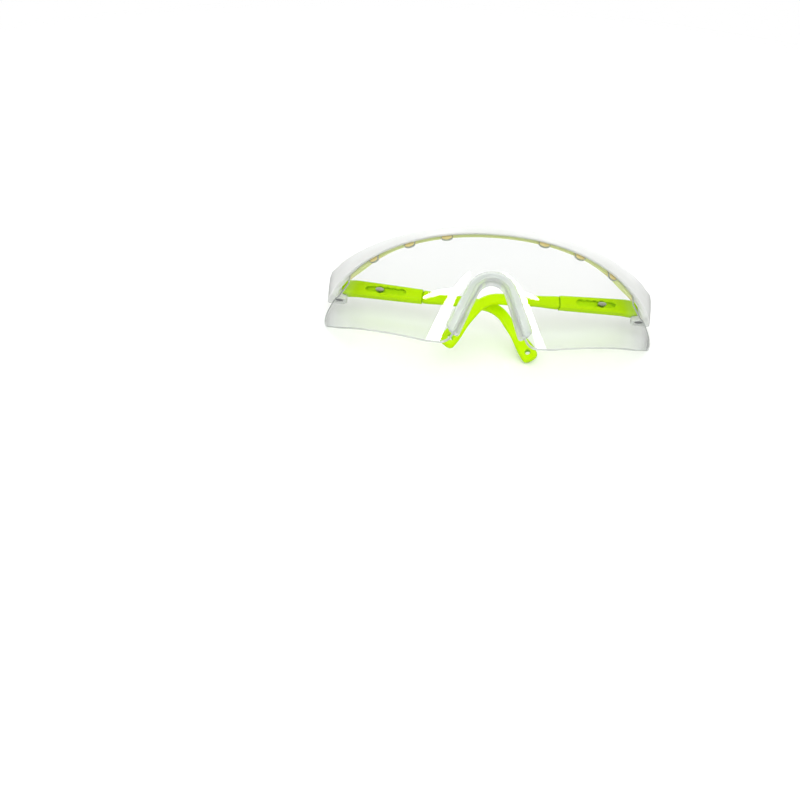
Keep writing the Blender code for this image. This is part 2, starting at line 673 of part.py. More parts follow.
def ear_path():
    """Centre line of an ear piece outside the sleeve as (along, height, angle below level, length
    left to the end)."""
    start = SLEEVE_LENGTH + GAP
    bend_length = BEND_RADIUS * (HOOK_ANGLE - TEMPLE_SLOPE)
    path = []
    for along in (start, EAR_TAPER_END, BEND_START):
        path.append((along, temple_height(along), TEMPLE_SLOPE,
                     (BEND_START - along) / cos(TEMPLE_SLOPE) + bend_length + HOOK_LENGTH))
    along, height = path[-1][:2]
    for i in range(1, BEND_STEPS + 1):
        angle = blend(TEMPLE_SLOPE, HOOK_ANGLE, i / BEND_STEPS)
        path.append((along + BEND_RADIUS * (sin(angle) - sin(TEMPLE_SLOPE)),
                     height - BEND_RADIUS * (cos(TEMPLE_SLOPE) - cos(angle)), angle,
                     bend_length * (1 - i / BEND_STEPS) + HOOK_LENGTH))
    along, height = path[-1][:2]
    rounding = [TIP_END_ROUND * (1 - sin(pi / 2 * share)) for share in (0, 0.3, 0.6, 0.85, 1)]
    for left in [HOOK_LENGTH - TIP_TAPER_LENGTH * share for share in (0.3, 0.6)] + rounding:
        gone = HOOK_LENGTH - left
        path.append((along + gone * cos(HOOK_ANGLE), height - gone * sin(HOOK_ANGLE), HOOK_ANGLE, left))
    return path


def ear_size(along, left):
    """Thickness and height of the ear piece: tapered after the sleeve and spread at the tip."""
    start = smooth_share(along, SLEEVE_LENGTH, EAR_TAPER_END)
    tip = smooth_share(TIP_TAPER_LENGTH - left, 0, TIP_TAPER_LENGTH - CORD_HOLE_FROM_END)
    thickness = blend(EAR_START_THICKNESS, EAR_THICKNESS, start)
    height = blend(blend(EAR_START_HEIGHT, EAR_HEIGHT, start), TIP_HEIGHT, tip)
    if left < TIP_END_ROUND:
        height -= 2 * TIP_END_ROUND * (1 - sqrt(1 - (1 - left / TIP_END_ROUND) ** 2))
    return thickness, height


def build_ear_piece(name, outward, parent, surface):
    tongue = rounded_section(TONGUE_THICKNESS / 2, TONGUE_HEIGHT / 2, EDGE_ROUND)
    shoulder = SLEEVE_LENGTH + GAP
    rings = [[Vector((along, outward * across, temple_height(along) + up)) for across, up in tongue]
             for along in (TONGUE_START, STUD_PLACE, shoulder)]
    for along, height, angle, left in ear_path():
        thickness, tall = ear_size(along, left)
        section = rounded_section(thickness / 2, tall / 2, EAR_ROUND)
        rings.append([Vector((along + up * sin(angle), outward * across, height + up * cos(angle)))
                      for across, up in section])
    for point in rings[3]:
        point.x = shoulder
    piece = place(name, loft(rings), parent, surface)
    cut(piece, name + "_cord_hole", lathe(
        [(CORD_HOLE_RADIUS, -CUT_REACH), (CORD_HOLE_RADIUS, CUT_REACH)], cord_hole_axis()))
    cut(piece, name + "_stud_hole", lathe(
        [(STUD_RADIUS + GAP, TONGUE_THICKNESS / 2 - STUD_HOLE_DEPTH), (STUD_RADIUS + GAP, CUT_REACH)],
        stud_axis(outward)))
    return piece


def cord_hole_axis():
    """Axis across the temple through the cord hole in the tip."""
    along, height, angle, left = ear_path()[-1]
    back = CORD_HOLE_FROM_END - left
    return (Matrix.Translation((along - back * cos(angle), 0, height + back * sin(angle)))
            @ Matrix.Rotation(pi / 2, 4, "X"))


def stud_axis(outward):
    """Axis of the stud, from the tongue's middle towards the wearer."""
    return (Matrix.Translation((STUD_PLACE, 0, temple_height(STUD_PLACE)))
            @ Matrix.Rotation(outward * pi / 2, 4, "X"))


def build_stud(name, outward, parent, surface):
    share = (STUD_PLACE - SLEEVE_ROOT_LENGTH) / (SLEEVE_LENGTH - SLEEVE_ROOT_LENGTH)
    face = blend(KNUCKLE_RADIUS, SLEEVE_END_THICKNESS / 2, share)
    long_half, tall_half = STUD_HEAD_LENGTH / 2, STUD_HEAD_HEIGHT / 2
    ovals = [(STUD_RADIUS, STUD_RADIUS, TONGUE_THICKNESS / 2 - STUD_HOLE_DEPTH + GAP),
             (STUD_RADIUS, STUD_RADIUS, TONGUE_THICKNESS / 2 + GAP),
             (long_half, tall_half, TONGUE_THICKNESS / 2 + GAP),
             (long_half, tall_half, face + STUD_PROUD - EDGE_ROUND / 2),
             (long_half - EDGE_ROUND / 2, tall_half - EDGE_ROUND / 2, face + STUD_PROUD)]
    angles = [2 * pi * i / ROUND_SEGMENTS for i in range(ROUND_SEGMENTS)]
    axis = stud_axis(outward)
    form = loft([[axis @ Vector((across * cos(a), up * sin(a), height)) for a in angles]
                 for across, up, height in ovals])
    return place(name, form, parent, surface)


def model_points(root, pieces):
    """Points of the finished pieces, relative to their common parent."""
    graph = bpy.context.evaluated_depsgraph_get()
    points = []
    for piece in pieces:
        finished = piece.evaluated_get(graph)
        mesh = finished.to_mesh()
        carry = root.matrix_world.inverted() @ finished.matrix_world
        points += [carry @ vertex.co for vertex in mesh.vertices]
        finished.to_mesh_clear()
    return np.array(points)


def lay_on_table(root, pieces, lens, rear_ear_piece):
    """Tips the goggles back until the lens and the rear temple's tip are equally low, and sets the
    origin under the middle of the whole."""
    lens_points = model_points(root, [lens])
    tip_points = model_points(root, [rear_ear_piece])

    def lowest(points, pitch):
        return float((points[:, 2] * cos(pitch) - points[:, 1] * sin(pitch)).min())

    flat, steep = radians(30), radians(75)
    while steep - flat > 1e-7:
        pitch = (flat + steep) / 2
        if lowest(lens_points, pitch) > lowest(tip_points, pitch):
            flat = pitch
        else:
            steep = pitch
    points = model_points(root, pieces) @ np.array(Matrix.Rotation(-flat, 3, "X").transposed())
    low, high = points.min(axis=0), points.max(axis=0)
    root.rotation_euler = (-flat, 0, 0)
    root.location = (-(low[0] + high[0]) / 2, -(low[1] + high[1]) / 2, -low[2])


def main():
    clear_scene()
    clear_plastic = material("clear polycarbonate", (0.86, 0.90, 0.88), 0.05, transmission=0.9)
    white_plastic = material("white gloss plastic", (0.93, 0.93, 0.92), 0.18)
    lime_plastic = material("lime gloss plastic", (0.42, 0.76, 0.01), 0.22)
    soft_clear = material("soft clear rubber", (0.80, 0.82, 0.80), 0.35, transmission=0.5)
    soft_lime = material("soft lime rubber", (0.80, 0.84, 0.42), 0.5)
    steel = material("bright steel", (0.75, 0.76, 0.78), 0.25, metallic=1.0)

    goggles = empty("goggles")
    lens = build_lens(goggles, clear_plastic)
    pieces = [lens,
              build_brow_bar(goggles, white_plastic),
              build_brow_pad(goggles, soft_lime),
              build_nose_piece(goggles, soft_clear)]
    ears = {}
    for side, name, fold in ((-1, "left", -FOLD_LEFT), (1, "right", pi + FOLD_RIGHT)):
        pieces.append(build_hinge_pin("hinge_pin_" + name, side, goggles, steel))
        hinge = empty("temple_hinge_" + name, hinge_place(side), fold, goggles)
        pieces.append(build_sleeve("temple_sleeve_" + name, -side, hinge, lime_plastic))
        ears[name] = build_ear_piece("temple_ear_piece_" + name, -side, hinge, lime_plastic)
        pieces += [ears[name], build_stud("length_stud_" + name, -side, hinge, steel)]
    bpy.context.view_layer.update()
    lay_on_table(goggles, pieces, lens, ears["left"])
    bpy.context.view_layer.update()


main()
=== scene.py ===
# %% [markdown]
# # Sports protective goggles
# A clear wraparound lens hangs under a white brow bar. A soft pad and a soft nose piece touch the
# face, and two lime temples fold on steel pins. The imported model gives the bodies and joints, and this
# lesson makes the pieces that are seen, each one on the body that it moves with.

import json
from math import atan2, cos, pi, radians, sin, sqrt, tan

import bmesh
import bpy
import numpy as np
from mathutils import Matrix, Vector


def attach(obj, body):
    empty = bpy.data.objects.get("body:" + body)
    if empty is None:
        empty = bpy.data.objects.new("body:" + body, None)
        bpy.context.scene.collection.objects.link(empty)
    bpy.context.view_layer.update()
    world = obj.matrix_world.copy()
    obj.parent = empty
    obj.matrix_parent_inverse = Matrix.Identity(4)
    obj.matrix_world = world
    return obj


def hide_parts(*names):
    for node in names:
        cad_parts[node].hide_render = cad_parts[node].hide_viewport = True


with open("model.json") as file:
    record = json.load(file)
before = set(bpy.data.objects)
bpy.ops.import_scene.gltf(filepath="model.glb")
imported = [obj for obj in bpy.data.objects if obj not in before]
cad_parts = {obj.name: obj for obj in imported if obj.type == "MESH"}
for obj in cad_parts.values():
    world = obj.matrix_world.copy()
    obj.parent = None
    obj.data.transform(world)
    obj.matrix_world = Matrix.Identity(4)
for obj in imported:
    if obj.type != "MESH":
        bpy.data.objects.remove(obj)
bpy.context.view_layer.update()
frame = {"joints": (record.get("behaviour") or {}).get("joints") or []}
MM = 0.001

# %% [markdown]
# ## Small tools
# One function adds any kind of node, sets its options and fills its inputs. Colours are written as they
# look on a screen and turned into the linear values that the renderer works with. Pattern sizes are
# written in millimetres.


# %% Node and colour helpers
def add_node(tree, kind, inputs=None, **options):
    """Adds a node with its options. An input gets a value, a socket's link or a node's first output."""
    node = tree.nodes.new(kind)
    for option, value in options.items():
        setattr(node, option, value)
    for socket, value in (inputs or {}).items():
        if isinstance(value, bpy.types.Node):
            value = value.outputs[0]
        if isinstance(value, bpy.types.NodeSocket):
            tree.links.new(value, node.inputs[socket])
        else:
            node.inputs[socket].default_value = value
    return node


def colour(code):
    """Linear colour of a written one such as "A0D800"."""
    screen = [int(code[i:i + 2], 16) / 255 for i in (0, 2, 4)]
    return (*[c / 12.92 if c <= 0.04045 else ((c + 0.055) / 1.055) ** 2.4 for c in screen], 1.0)


def per_size(millimetres):
    """Texture scale whose pattern repeats at about this size."""
    return 1 / (millimetres * MM)


def new_material(name):
    made = bpy.data.materials.new(name)
    made.use_nodes = True
    made.node_tree.nodes.clear()
    return made, made.node_tree


def patchy(tree, size, light, dark):
    """Place on the piece, a noise of a size in mm, and a colour that it varies between two shades."""
    place = add_node(tree, "ShaderNodeTexCoord").outputs["Object"]
    noise = add_node(tree, "ShaderNodeTexNoise", {"Vector": place, "Scale": per_size(size)})
    shade = add_node(tree, "ShaderNodeMix", {"Factor": noise, 6: colour(light), 7: colour(dark)},
                     data_type="RGBA")
    return place, noise, shade.outputs[2]


def blend(start, end, share):
    return start + (end - start) * share


def smooth_share(value, start, end):
    share = min(max((value - start) / (end - start), 0.0), 1.0)
    return share * share * (3 - 2 * share)


def spaced(start, end, step):
    count = max(2, round(abs(end - start) / step) + 1)
    return [float(value) for value in np.linspace(start, end, count)]


def quarter_turn(count):
    """Sines of even steps up a quarter turn, for rounding an end."""
    return [sin(pi / 2 * i / count) for i in range(1, count + 1)]


def both_ways(stations):
    """Stations from the middle outwards, repeated on the other side."""
    return [-arc for arc in reversed(stations[1:])] + stations


print("lime as linear colour:", [round(c, 3) for c in colour("A0D800")])

# %% [markdown]
# ## The clear lens plastic
# Eye shields are moulded from polycarbonate, which bends light more than window glass and has a faint
# grey tint. Shadow rays pass straight through, so the lamps reach the temples behind the lens, and so
# does light that has bounced many times in an edge, which would otherwise end up black. The cut edges
# are frosted, and a value painted on the lens's faces says where they are. Seen almost edge on, a clear
# sheet mirrors the white studio, which looks like the white behind it, so there it is simply let through.

# %% Lens material
CLEAR_IOR = 1.585
TINT_PATCH = 25  # mm
TRAPPED_DEPTH = 2.5  # bounces after which light caught in an edge is let out
EDGE_FROST = 0.85
GRAZING = (0.76, 0.9)  # a face turned this far from the eye starts to let through, and does so fully

clear_plastic, tree = new_material("clear_polycarbonate")
_, _, tint = patchy(tree, TINT_PATCH, "FFFFFF", "FBFDFC")
glass = add_node(tree, "ShaderNodeBsdfPrincipled", {
    "Base Color": tint, "Roughness": 0.0, "IOR": CLEAR_IOR, "Transmission Weight": 1.0})
frost = add_node(tree, "ShaderNodeBsdfPrincipled", {
    "Base Color": colour("D9DDD9"), "Roughness": 0.5, "IOR": CLEAR_IOR, "Transmission Weight": 0.25})
edge = add_node(tree, "ShaderNodeAttribute", attribute_name="edge").outputs["Fac"]
frosted = add_node(tree, "ShaderNodeMath", {0: edge, 1: EDGE_FROST}, operation="MULTIPLY")
body = add_node(tree, "ShaderNodeMixShader", {0: frosted, 1: glass, 2: frost})
through = add_node(tree, "ShaderNodeBsdfTransparent", {"Color": colour("FCFEFD")})
path = add_node(tree, "ShaderNodeLightPath").outputs
trapped = add_node(tree, "ShaderNodeMath", {0: path["Ray Depth"], 1: TRAPPED_DEPTH}, operation="GREATER_THAN")
facing = add_node(tree, "ShaderNodeLayerWeight", {"Blend": 0.5}).outputs["Facing"]
grazing = add_node(tree, "ShaderNodeMapRange", {
    "Value": facing, "From Min": GRAZING[0], "From Max": GRAZING[1]}, interpolation_type="SMOOTHSTEP")
edge_on = add_node(tree, "ShaderNodeMath", {0: grazing, 1: edge}, operation="SUBTRACT", use_clamp=True)
let_out = add_node(tree, "ShaderNodeMath", {0: trapped, 1: edge_on}, operation="MAXIMUM")
straight_on = add_node(tree, "ShaderNodeMath", {0: path["Is Shadow Ray"], 1: let_out}, operation="MAXIMUM")
mixed = add_node(tree, "ShaderNodeMixShader", {0: straight_on, 1: body, 2: through})
add_node(tree, "ShaderNodeOutputMaterial", {"Surface": mixed})
print("made", clear_plastic.name)

# %% [markdown]
# ## The soft clear nose rubber
# The nose piece is a clear rubbery plastic. It is less shiny than the lens, and a slight cloudiness in
# it catches the light.

# %% Nose piece material
RUBBER_IOR = 1.47
CLOUD_SIZE = 3  # mm

soft_clear, tree = new_material("soft_clear_rubber")
_, clouds, tint = patchy(tree, CLOUD_SIZE, "F6F8F6", "ECF0ED")
haze = add_node(tree, "ShaderNodeMapRange", {"Value": clouds, "To Min": 0.1, "To Max": 0.2})
rubber = add_node(tree, "ShaderNodeBsdfPrincipled", {
    "Base Color": tint, "Roughness": haze, "IOR": RUBBER_IOR, "Transmission Weight": 0.7})
through = add_node(tree, "ShaderNodeBsdfTransparent", {"Color": colour("E6EAE7")})
lamp_ray = add_node(tree, "ShaderNodeLightPath").outputs["Is Shadow Ray"]
mixed = add_node(tree, "ShaderNodeMixShader", {0: lamp_ray, 1: rubber, 2: through})
add_node(tree, "ShaderNodeOutputMaterial", {"Surface": mixed})
print("made", soft_clear.name)

# %% [markdown]
# ## The moulded plastics
# The brow bar is a milky white plastic that lets a little light in, and the temples are a glossy lime
# one. Moulded gloss is never quite even, so a noise varies the shine and ripples the surface slightly.

# %% White and lime materials
RIPPLE_SIZE = 5  # mm
RIPPLE_HEIGHT = 0.004  # mm
SHADE_PATCH = 12  # mm


def moulded_plastic(name, light, dark, mirror, shine, depth_weight, depth_reach):
    """Glossy plastic: two close shades in soft patches, uneven shine and light that sinks in."""
    made, tree = new_material(name)
    place, _, shade = patchy(tree, SHADE_PATCH, light, dark)
    ripples = add_node(tree, "ShaderNodeTexNoise", {"Vector": place, "Scale": per_size(RIPPLE_SIZE)})
    gloss = add_node(tree, "ShaderNodeMapRange", {"Value": ripples, "To Min": shine[0], "To Max": shine[1]})
    bump = add_node(tree, "ShaderNodeBump", {
        "Height": ripples, "Strength": 1.0, "Distance": RIPPLE_HEIGHT * MM})
    shader = add_node(tree, "ShaderNodeBsdfPrincipled", {
        "Base Color": shade, "Roughness": gloss, "Specular IOR Level": mirror, "Normal": bump,
        "Subsurface Weight": depth_weight, "Subsurface Radius": (1.0, 1.0, 1.0),
        "Subsurface Scale": depth_reach * MM})
    add_node(tree, "ShaderNodeOutputMaterial", {"Surface": shader})
    return made


white_plastic = moulded_plastic("milky_white_plastic", "F2F3F1", "ECEEEB", mirror=0.5, shine=(0.16, 0.26),
                                depth_weight=0.6, depth_reach=2.0)
lime_plastic = moulded_plastic("lime_plastic", "C8F400", "C0EE00", mirror=0.1, shine=(0.14, 0.24),
                               depth_weight=0.12, depth_reach=0.8)
print("made", white_plastic.name, "and", lime_plastic.name)

# %% [markdown]
# ## The pad foam and the satin steel
# The pad is a pale yellow-green soft foam, and the material makes it tan where it is bare. The
# studs and pins are satin steel with faint turning marks.

# %% Pad and steel materials
FLECK_SIZE = 1.6  # mm
PORE_SIZE = 0.5  # mm, coarser than the real pores so that it can be seen
PORE_HEIGHT = 0.05  # mm
TURNING_SIZE = 0.4  # mm

soft_lime, tree = new_material("soft_lime_foam")
place, _, covered_colour = patchy(tree, FLECK_SIZE, "F8FDB2", "F0F6A8")
# Where the pad is bare, at the vents and beyond the lens, its colour is mixed towards tan.
bare = add_node(tree, "ShaderNodeAttribute", attribute_name="bare").outputs["Fac"]
shade = add_node(tree, "ShaderNodeMix", {"Factor": bare, 6: covered_colour, 7: colour("F0E09C")}, data_type="RGBA")
pores = add_node(tree, "ShaderNodeTexVoronoi", {"Vector": place, "Scale": per_size(PORE_SIZE)})
bump = add_node(tree, "ShaderNodeBump", {"Height": pores, "Strength": 0.6, "Distance": PORE_HEIGHT * MM})
foam = add_node(tree, "ShaderNodeBsdfPrincipled", {
    "Base Color": shade.outputs[2], "Roughness": 0.7, "Normal": bump})
add_node(tree, "ShaderNodeOutputMaterial", {"Surface": foam})

steel, tree = new_material("satin_steel")
_, marks, shade = patchy(tree, TURNING_SIZE, "E6E7E6", "CFD2D2")
gloss = add_node(tree, "ShaderNodeMapRange", {"Value": marks, "To Min": 0.5, "To Max": 0.6})
metal = add_node(tree, "ShaderNodeBsdfPrincipled", {"Base Color": shade, "Metallic": 1.0, "Roughness": gloss})
add_node(tree, "ShaderNodeOutputMaterial", {"Surface": metal})
print("made", soft_lime.name, "and", steel.name)

# %% [markdown]
# ## Laying pieces along a line
# The lens, nose piece, pad and brow bar all follow the curve of the face, and the temples follow their
# own bent line. So each piece is first laid out straight: x is the length along the line, y the distance
# off it and z the height. One Geometry Nodes tree then carries every point to its line. Real lenses are
# also cut flat and bent, or moulded in a bent tool.

# %% Geometry Nodes: lay along line
line_tree = bpy.data.node_groups.new("lay_along_line", "GeometryNodeTree")
line_tree.is_modifier = True
socket_ids = {}
for label, kind in (("Geometry", "NodeSocketGeometry"), ("Line", "NodeSocketObject"),
                    ("Middle", "NodeSocketFloat"), ("Lean", "NodeSocketFloat"),
                    ("Surface", "NodeSocketMaterial")):
    socket_ids[label] = line_tree.interface.new_socket(label, in_out="INPUT", socket_type=kind).identifier
line_tree.interface.new_socket("Geometry", in_out="OUTPUT", socket_type="NodeSocketGeometry")
given = add_node(line_tree, "NodeGroupInput").outputs
flat = add_node(line_tree, "ShaderNodeSeparateXYZ", {
    0: add_node(line_tree, "GeometryNodeInputPosition")}).outputs
run = add_node(line_tree, "ShaderNodeMath", {0: flat["X"], 1: given["Middle"]}, operation="ADD")
line = add_node(line_tree, "GeometryNodeObjectInfo", {"Object": given["Line"]})
sample = add_node(line_tree, "GeometryNodeSampleCurve", {
    "Curves": line.outputs["Geometry"], "Length": run}, mode="LENGTH").outputs
heading = add_node(line_tree, "ShaderNodeSeparateXYZ", {0: sample["Tangent"]}).outputs
minus = add_node(line_tree, "ShaderNodeMath", {0: heading["Y"], 1: -1.0}, operation="MULTIPLY")
side = add_node(line_tree, "ShaderNodeCombineXYZ", {"X": minus, "Y": heading["X"]})
offset = add_node(line_tree, "ShaderNodeVectorMath", {"Vector": side, "Scale": flat["Y"]}, operation="SCALE")
fall = add_node(line_tree, "ShaderNodeMath", {0: flat["Z"], 1: given["Lean"]}, operation="MULTIPLY")
back = add_node(line_tree, "ShaderNodeMath", {0: fall, 1: -1.0}, operation="MULTIPLY")
rise = add_node(line_tree, "ShaderNodeCombineXYZ", {"Y": back, "Z": flat["Z"]})
beside = add_node(line_tree, "ShaderNodeVectorMath", {0: sample["Position"], 1: offset}, operation="ADD")
moved = add_node(line_tree, "ShaderNodeVectorMath", {0: beside, 1: rise}, operation="ADD")
laid = add_node(line_tree, "GeometryNodeSetPosition", {"Geometry": given["Geometry"], "Position": moved})
solid = add_node(line_tree, "GeometryNodeRealizeInstances", {"Geometry": laid})
painted = add_node(line_tree, "GeometryNodeSetMaterial", {"Geometry": solid, "Material": given["Surface"]})
add_node(line_tree, "NodeGroupOutput", {"Geometry": painted})
print("tree", line_tree.name, "with", len(line_tree.nodes), "nodes")

# %% Mesh helpers
ARC_ROOM = 0.35  # share of a section's shorter side that a corner's arc may take
BESIDE_ROOM = 0.25  # share of that room for the point beside an arc
LEAST_ANGLE = 0.02  # of a corner, in radians
FLAT_CORNER = radians(89)  # half angle from which a corner counts as straight


def skin(rings):
    """Closed skin through rings of equally many points, capped at both ends."""
    form = bmesh.new()
    loops = [[form.verts.new(point) for point in ring] for ring in rings]
    for near, far in zip(loops, loops[1:]):
        for i, corner in enumerate(near):
            j = (i + 1) % len(near)
            form.faces.new((corner, near[j], far[j], far[i]))
    form.faces.new(loops[0])
    form.faces.new(loops[-1])
    bmesh.ops.recalc_face_normals(form, faces=form.faces)
    mesh = bpy.data.meshes.new("skin")
    form.to_mesh(mesh)
    form.free()
    return mesh


def turned(profile, axis=Matrix(), segments=40):
    """Turned solid from (radius, height) points along local Z, carried over by a matrix."""
    angles = [2 * pi * i / segments for i in range(segments)]
    return skin([[axis @ Vector((radius * cos(a), radius * sin(a), height)) for a in angles]
                 for radius, height in profile])


def show(name, data):
    made = bpy.data.objects.new(name, data)
    bpy.context.scene.collection.objects.link(made)
    return made


def settled(helper, *others):
    """Plain mesh of an object with its modifiers, which is then removed with what it used."""
    bpy.context.view_layer.update()
    mesh = bpy.data.meshes.new_from_object(
        helper.evaluated_get(bpy.context.evaluated_depsgraph_get()))
    for used in (helper, *others):
        bpy.data.objects.remove(used)
    return mesh


def carved(mesh, *cutters):
    """The mesh with other meshes cut away from it."""
    helper = show("carved", mesh)
    tools = [show("cutter", cutter) for cutter in cutters]
    for tool in tools:
        cut = helper.modifiers.new("cut", "BOOLEAN")
        cut.operation = "DIFFERENCE"
        cut.solver = "EXACT"
        cut.object = tool
    return settled(helper, *tools)


def laid_along(mesh, points, middle, lean, surface):
    """The mesh carried along a flat line by the Geometry Nodes tree."""
    curve = bpy.data.curves.new("line", "CURVE")
    curve.dimensions = "3D"
    spline = curve.splines.new("POLY")
    spline.points.add(len(points) - 1)
    for knot, (x, y) in zip(spline.points, points):
        knot.co = (x, y, 0, 1)
    path = show("line", curve)
    helper = show("laid", mesh)
    bend = helper.modifiers.new("lay_along_line", "NODES")
    bend.node_group = line_tree
    for label, value in (("Line", path), ("Middle", middle), ("Lean", lean), ("Surface", surface)):
        bend[socket_ids[label]] = value
    return settled(helper, path)


def rounded_section(corners, radii, steps=4, support=0.3 * MM):
    """Closed section with an arc at each corner. A point beside each arc keeps flat faces flat."""
    points = []
    for i, corner in enumerate(corners):
        corner = Vector(corner)
        before = Vector(corners[i - 1]) - corner
        after = Vector(corners[(i + 1) % len(corners)]) - corner
        room = ARC_ROOM * min(before.length, after.length)
        before, after = before.normalized(), after.normalized()
        half = max(before.angle(after, pi), LEAST_ANGLE) / 2
        if half > FLAT_CORNER:
            points += [corner] * (steps + 3)
            continue
        reach = min(radii[i] / tan(half), room)
        centre = corner + (before + after).normalized() * (reach / cos(half))
        first, last = corner + before * reach - centre, corner + after * reach - centre
        beside = reach + min(support, room * BESIDE_ROOM)
        points.append(corner + before * beside)
        for step in range(steps + 1):
            points.append(centre + first.slerp(last, step / steps) * first.length)
        points.append(corner + after * beside)
    return points


def rounded_path(points, radii, steps=12):
    """Open flat path with an arc of the given radius at each inner corner."""
    path = [Vector(points[0])]
    for before, corner, after, radius in zip(points, points[1:], points[2:], radii):
        corner = Vector(corner)
        inward = (Vector(before) - corner).normalized()
        onward = (Vector(after) - corner).normalized()
        half = inward.angle(onward) / 2
        centre = corner + (inward + onward).normalized() * (radius / sin(half))
        first = corner + inward * (radius / tan(half)) - centre
        last = corner + onward * (radius / tan(half)) - centre
        path += [centre + first.slerp(last, i / steps) * radius for i in range(steps + 1)]
    path.append(Vector(points[-1]))
    return path


def end_share(keep, over):
    """How much of a section is left at a share of the way over a rounded end."""
    return sqrt(1 - (1 - keep ** 2) * over * over)


print("mesh helpers ready")

# %% [markdown]
# ## The face curve
# Goggles of this kind wrap round one upright cylinder. The brow bar follows the same curve and then
# turns back tighter along its two hinge pods. The goggles are worked on as worn, with the front towards
# -Y, and the fold joint tells how far they lean back on the table.

# %% Lines and place of the goggles
FACE_RADIUS = 73 * MM
FACE_LEAN = tan(radians(4.5))  # the lower edge sits back towards the face
GAP = 0.3 * MM  # between pieces that touch
LENS_THICKNESS = 2.0 * MM
LENS_END = 90.2 * MM  # arc from the middle
LENS_LINE_END = LENS_END + 1 * MM  # its line goes on a little
POD_TURN_START = radians(60)
POD_TURN_END = radians(86)
POD_TURN_RADIUS = 24 * MM
POD_STRAIGHT = 4.5 * MM
TURN_START = FACE_RADIUS * POD_TURN_START
TURN_END = TURN_START + POD_TURN_RADIUS * (POD_TURN_END - POD_TURN_START)
BROW_END = TURN_END + POD_STRAIGHT
HINGE_HEIGHT = -9.0 * MM
HINGE_SETBACK = 5.1 * MM  # from the pod's rear end
HINGE_DEPTH = 3.8 * MM
LINE_STEP = 0.25 * MM


def lens_line(arc):
    return FACE_RADIUS * sin(arc / FACE_RADIUS), FACE_RADIUS * (1 - cos(arc / FACE_RADIUS))


def brow_line(arc):
    """Plan position and heading of the brow bar's line."""
    sign = 1 if arc >= 0 else -1
    arc = abs(arc)
    turn = min(arc, TURN_START) / FACE_RADIUS
    x, y = lens_line(min(arc, TURN_START))
    if arc > TURN_START:
        start = turn
        turn += (min(arc, TURN_END) - TURN_START) / POD_TURN_RADIUS
        x += POD_TURN_RADIUS * (sin(turn) - sin(start))
        y += POD_TURN_RADIUS * (cos(start) - cos(turn))
    straight = max(arc - TURN_END, 0.0)
    return sign * (x + straight * cos(turn)), y + straight * sin(turn), sign * turn


def hinge_place(sign):
    """Hinge axis at the middle height of a pod, as worn."""
    x, y, turn = brow_line(sign * (BROW_END - HINGE_SETBACK))
    return Vector((x - HINGE_DEPTH * sin(turn), y + HINGE_DEPTH * cos(turn) - HINGE_HEIGHT * FACE_LEAN,
                   HINGE_HEIGHT))


lens_points = [lens_line(arc) for arc in spaced(-LENS_LINE_END, LENS_LINE_END, LINE_STEP)]
brow_points = [brow_line(arc)[:2] for arc in spaced(-BROW_END, BROW_END, LINE_STEP)]
fold = next(joint for joint in frame["joints"] if joint["name"] == "fold_left")
lean_back = atan2(fold["axis"][1], fold["axis"][2])
tipped = Matrix.Rotation(-lean_back, 4, "X")
on_table = Matrix.Translation(Vector(fold["pos_m"]) - tipped @ hinge_place(-1)) @ tipped


def add_piece(name, mesh, body, node, surface, place=Matrix(), crisp=35):
    """Puts a mesh on the table as a finished piece that stands for a CAD node."""
    mesh.transform(on_table @ place)
    form = bmesh.new()
    form.from_mesh(mesh)
    bmesh.ops.recalc_face_normals(form, faces=form.faces)
    form.to_mesh(mesh)
    form.free()
    mesh.materials.clear()
    mesh.materials.append(surface)
    mesh.shade_smooth()
    mesh.set_sharp_from_angle(angle=radians(crisp))
    mesh.name = name
    piece = show(name, mesh)
    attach(piece, body)
    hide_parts(node)
    mesh.calc_loop_triangles()
    print(name, len(mesh.loop_triangles), "triangles")
    return piece


print("leans back", round(lean_back * 180 / pi, 1), "degrees")

# %% [markdown]
# ## Lens
# One clear shield, laid out flat as (arc, height). Its lower edge goes from the nose arch down the leg,
# round the cheek and out to the wing, and its top edge sits in the brow bar's groove. Three shallow
# vents are bitten out of the top edge on each side. Upright strips keep the bent face a true cylinder,
# so reflections in it stay straight.

# %% Lens edges
LIP_BOTTOM = -1.0 * MM
LIP_FALL = 9.9 * MM
LIP_FALL_POWER = 2.3
BAR_TOP = 2.1 * MM
BAR_FALL = 5.2 * MM
BAR_FALL_POWER = 1.5
FALL_ARC = 70 * MM
POD_TOP = -3.7 * MM
POD_BOTTOM = -14.6 * MM
GROOVE_DEPTH = 2.0 * MM
VENT_ARCS = (19.8 * MM, 35.9 * MM, 53.5 * MM)
VENT_HALF_WIDTH = 2.35 * MM
VENT_DROP = 1.2 * MM
VENT_WALL = 0.05 * MM
LENS_TOP_ARC = 68.2 * MM  # the top edge leaves the groove here
ARCH_TOP = -18.3 * MM
ARCH_RADIUS = 7.7 * MM
ARCH_STEPS = 24
LEG_ANGLE = radians(21.5)
LENS_LOW = -45.2 * MM  # height of the corner beside the nose
CHEEK = (26 * MM, -43.9 * MM)
WING_LOW = (74 * MM, -30.6 * MM)
WING_TIP = (-25.2 * MM, -22.8 * MM, -20.4 * MM)  # heights at the lens's end
LOWER_RADII = (5 * MM, 20 * MM, 30 * MM, 3.7 * MM)
SHOULDER_ARC = 68.9 * MM
SHOULDER_DROP = 2.1 * MM  # below the lip
POD_BITE = ((75.3 * MM, -15.9 * MM), (79.5 * MM, -16.2 * MM))
UPPER_RADII = (1.0 * MM, 3.0 * MM, 3.0 * MM, 2.5 * MM)


def pod_share(arc):
    return smooth_share(abs(arc), TURN_START, BROW_END - 2 * HINGE_SETBACK)


def lip_bottom(arc):
    return blend(LIP_BOTTOM - LIP_FALL * (abs(arc) / FALL_ARC) ** LIP_FALL_POWER, POD_BOTTOM, pod_share(arc))


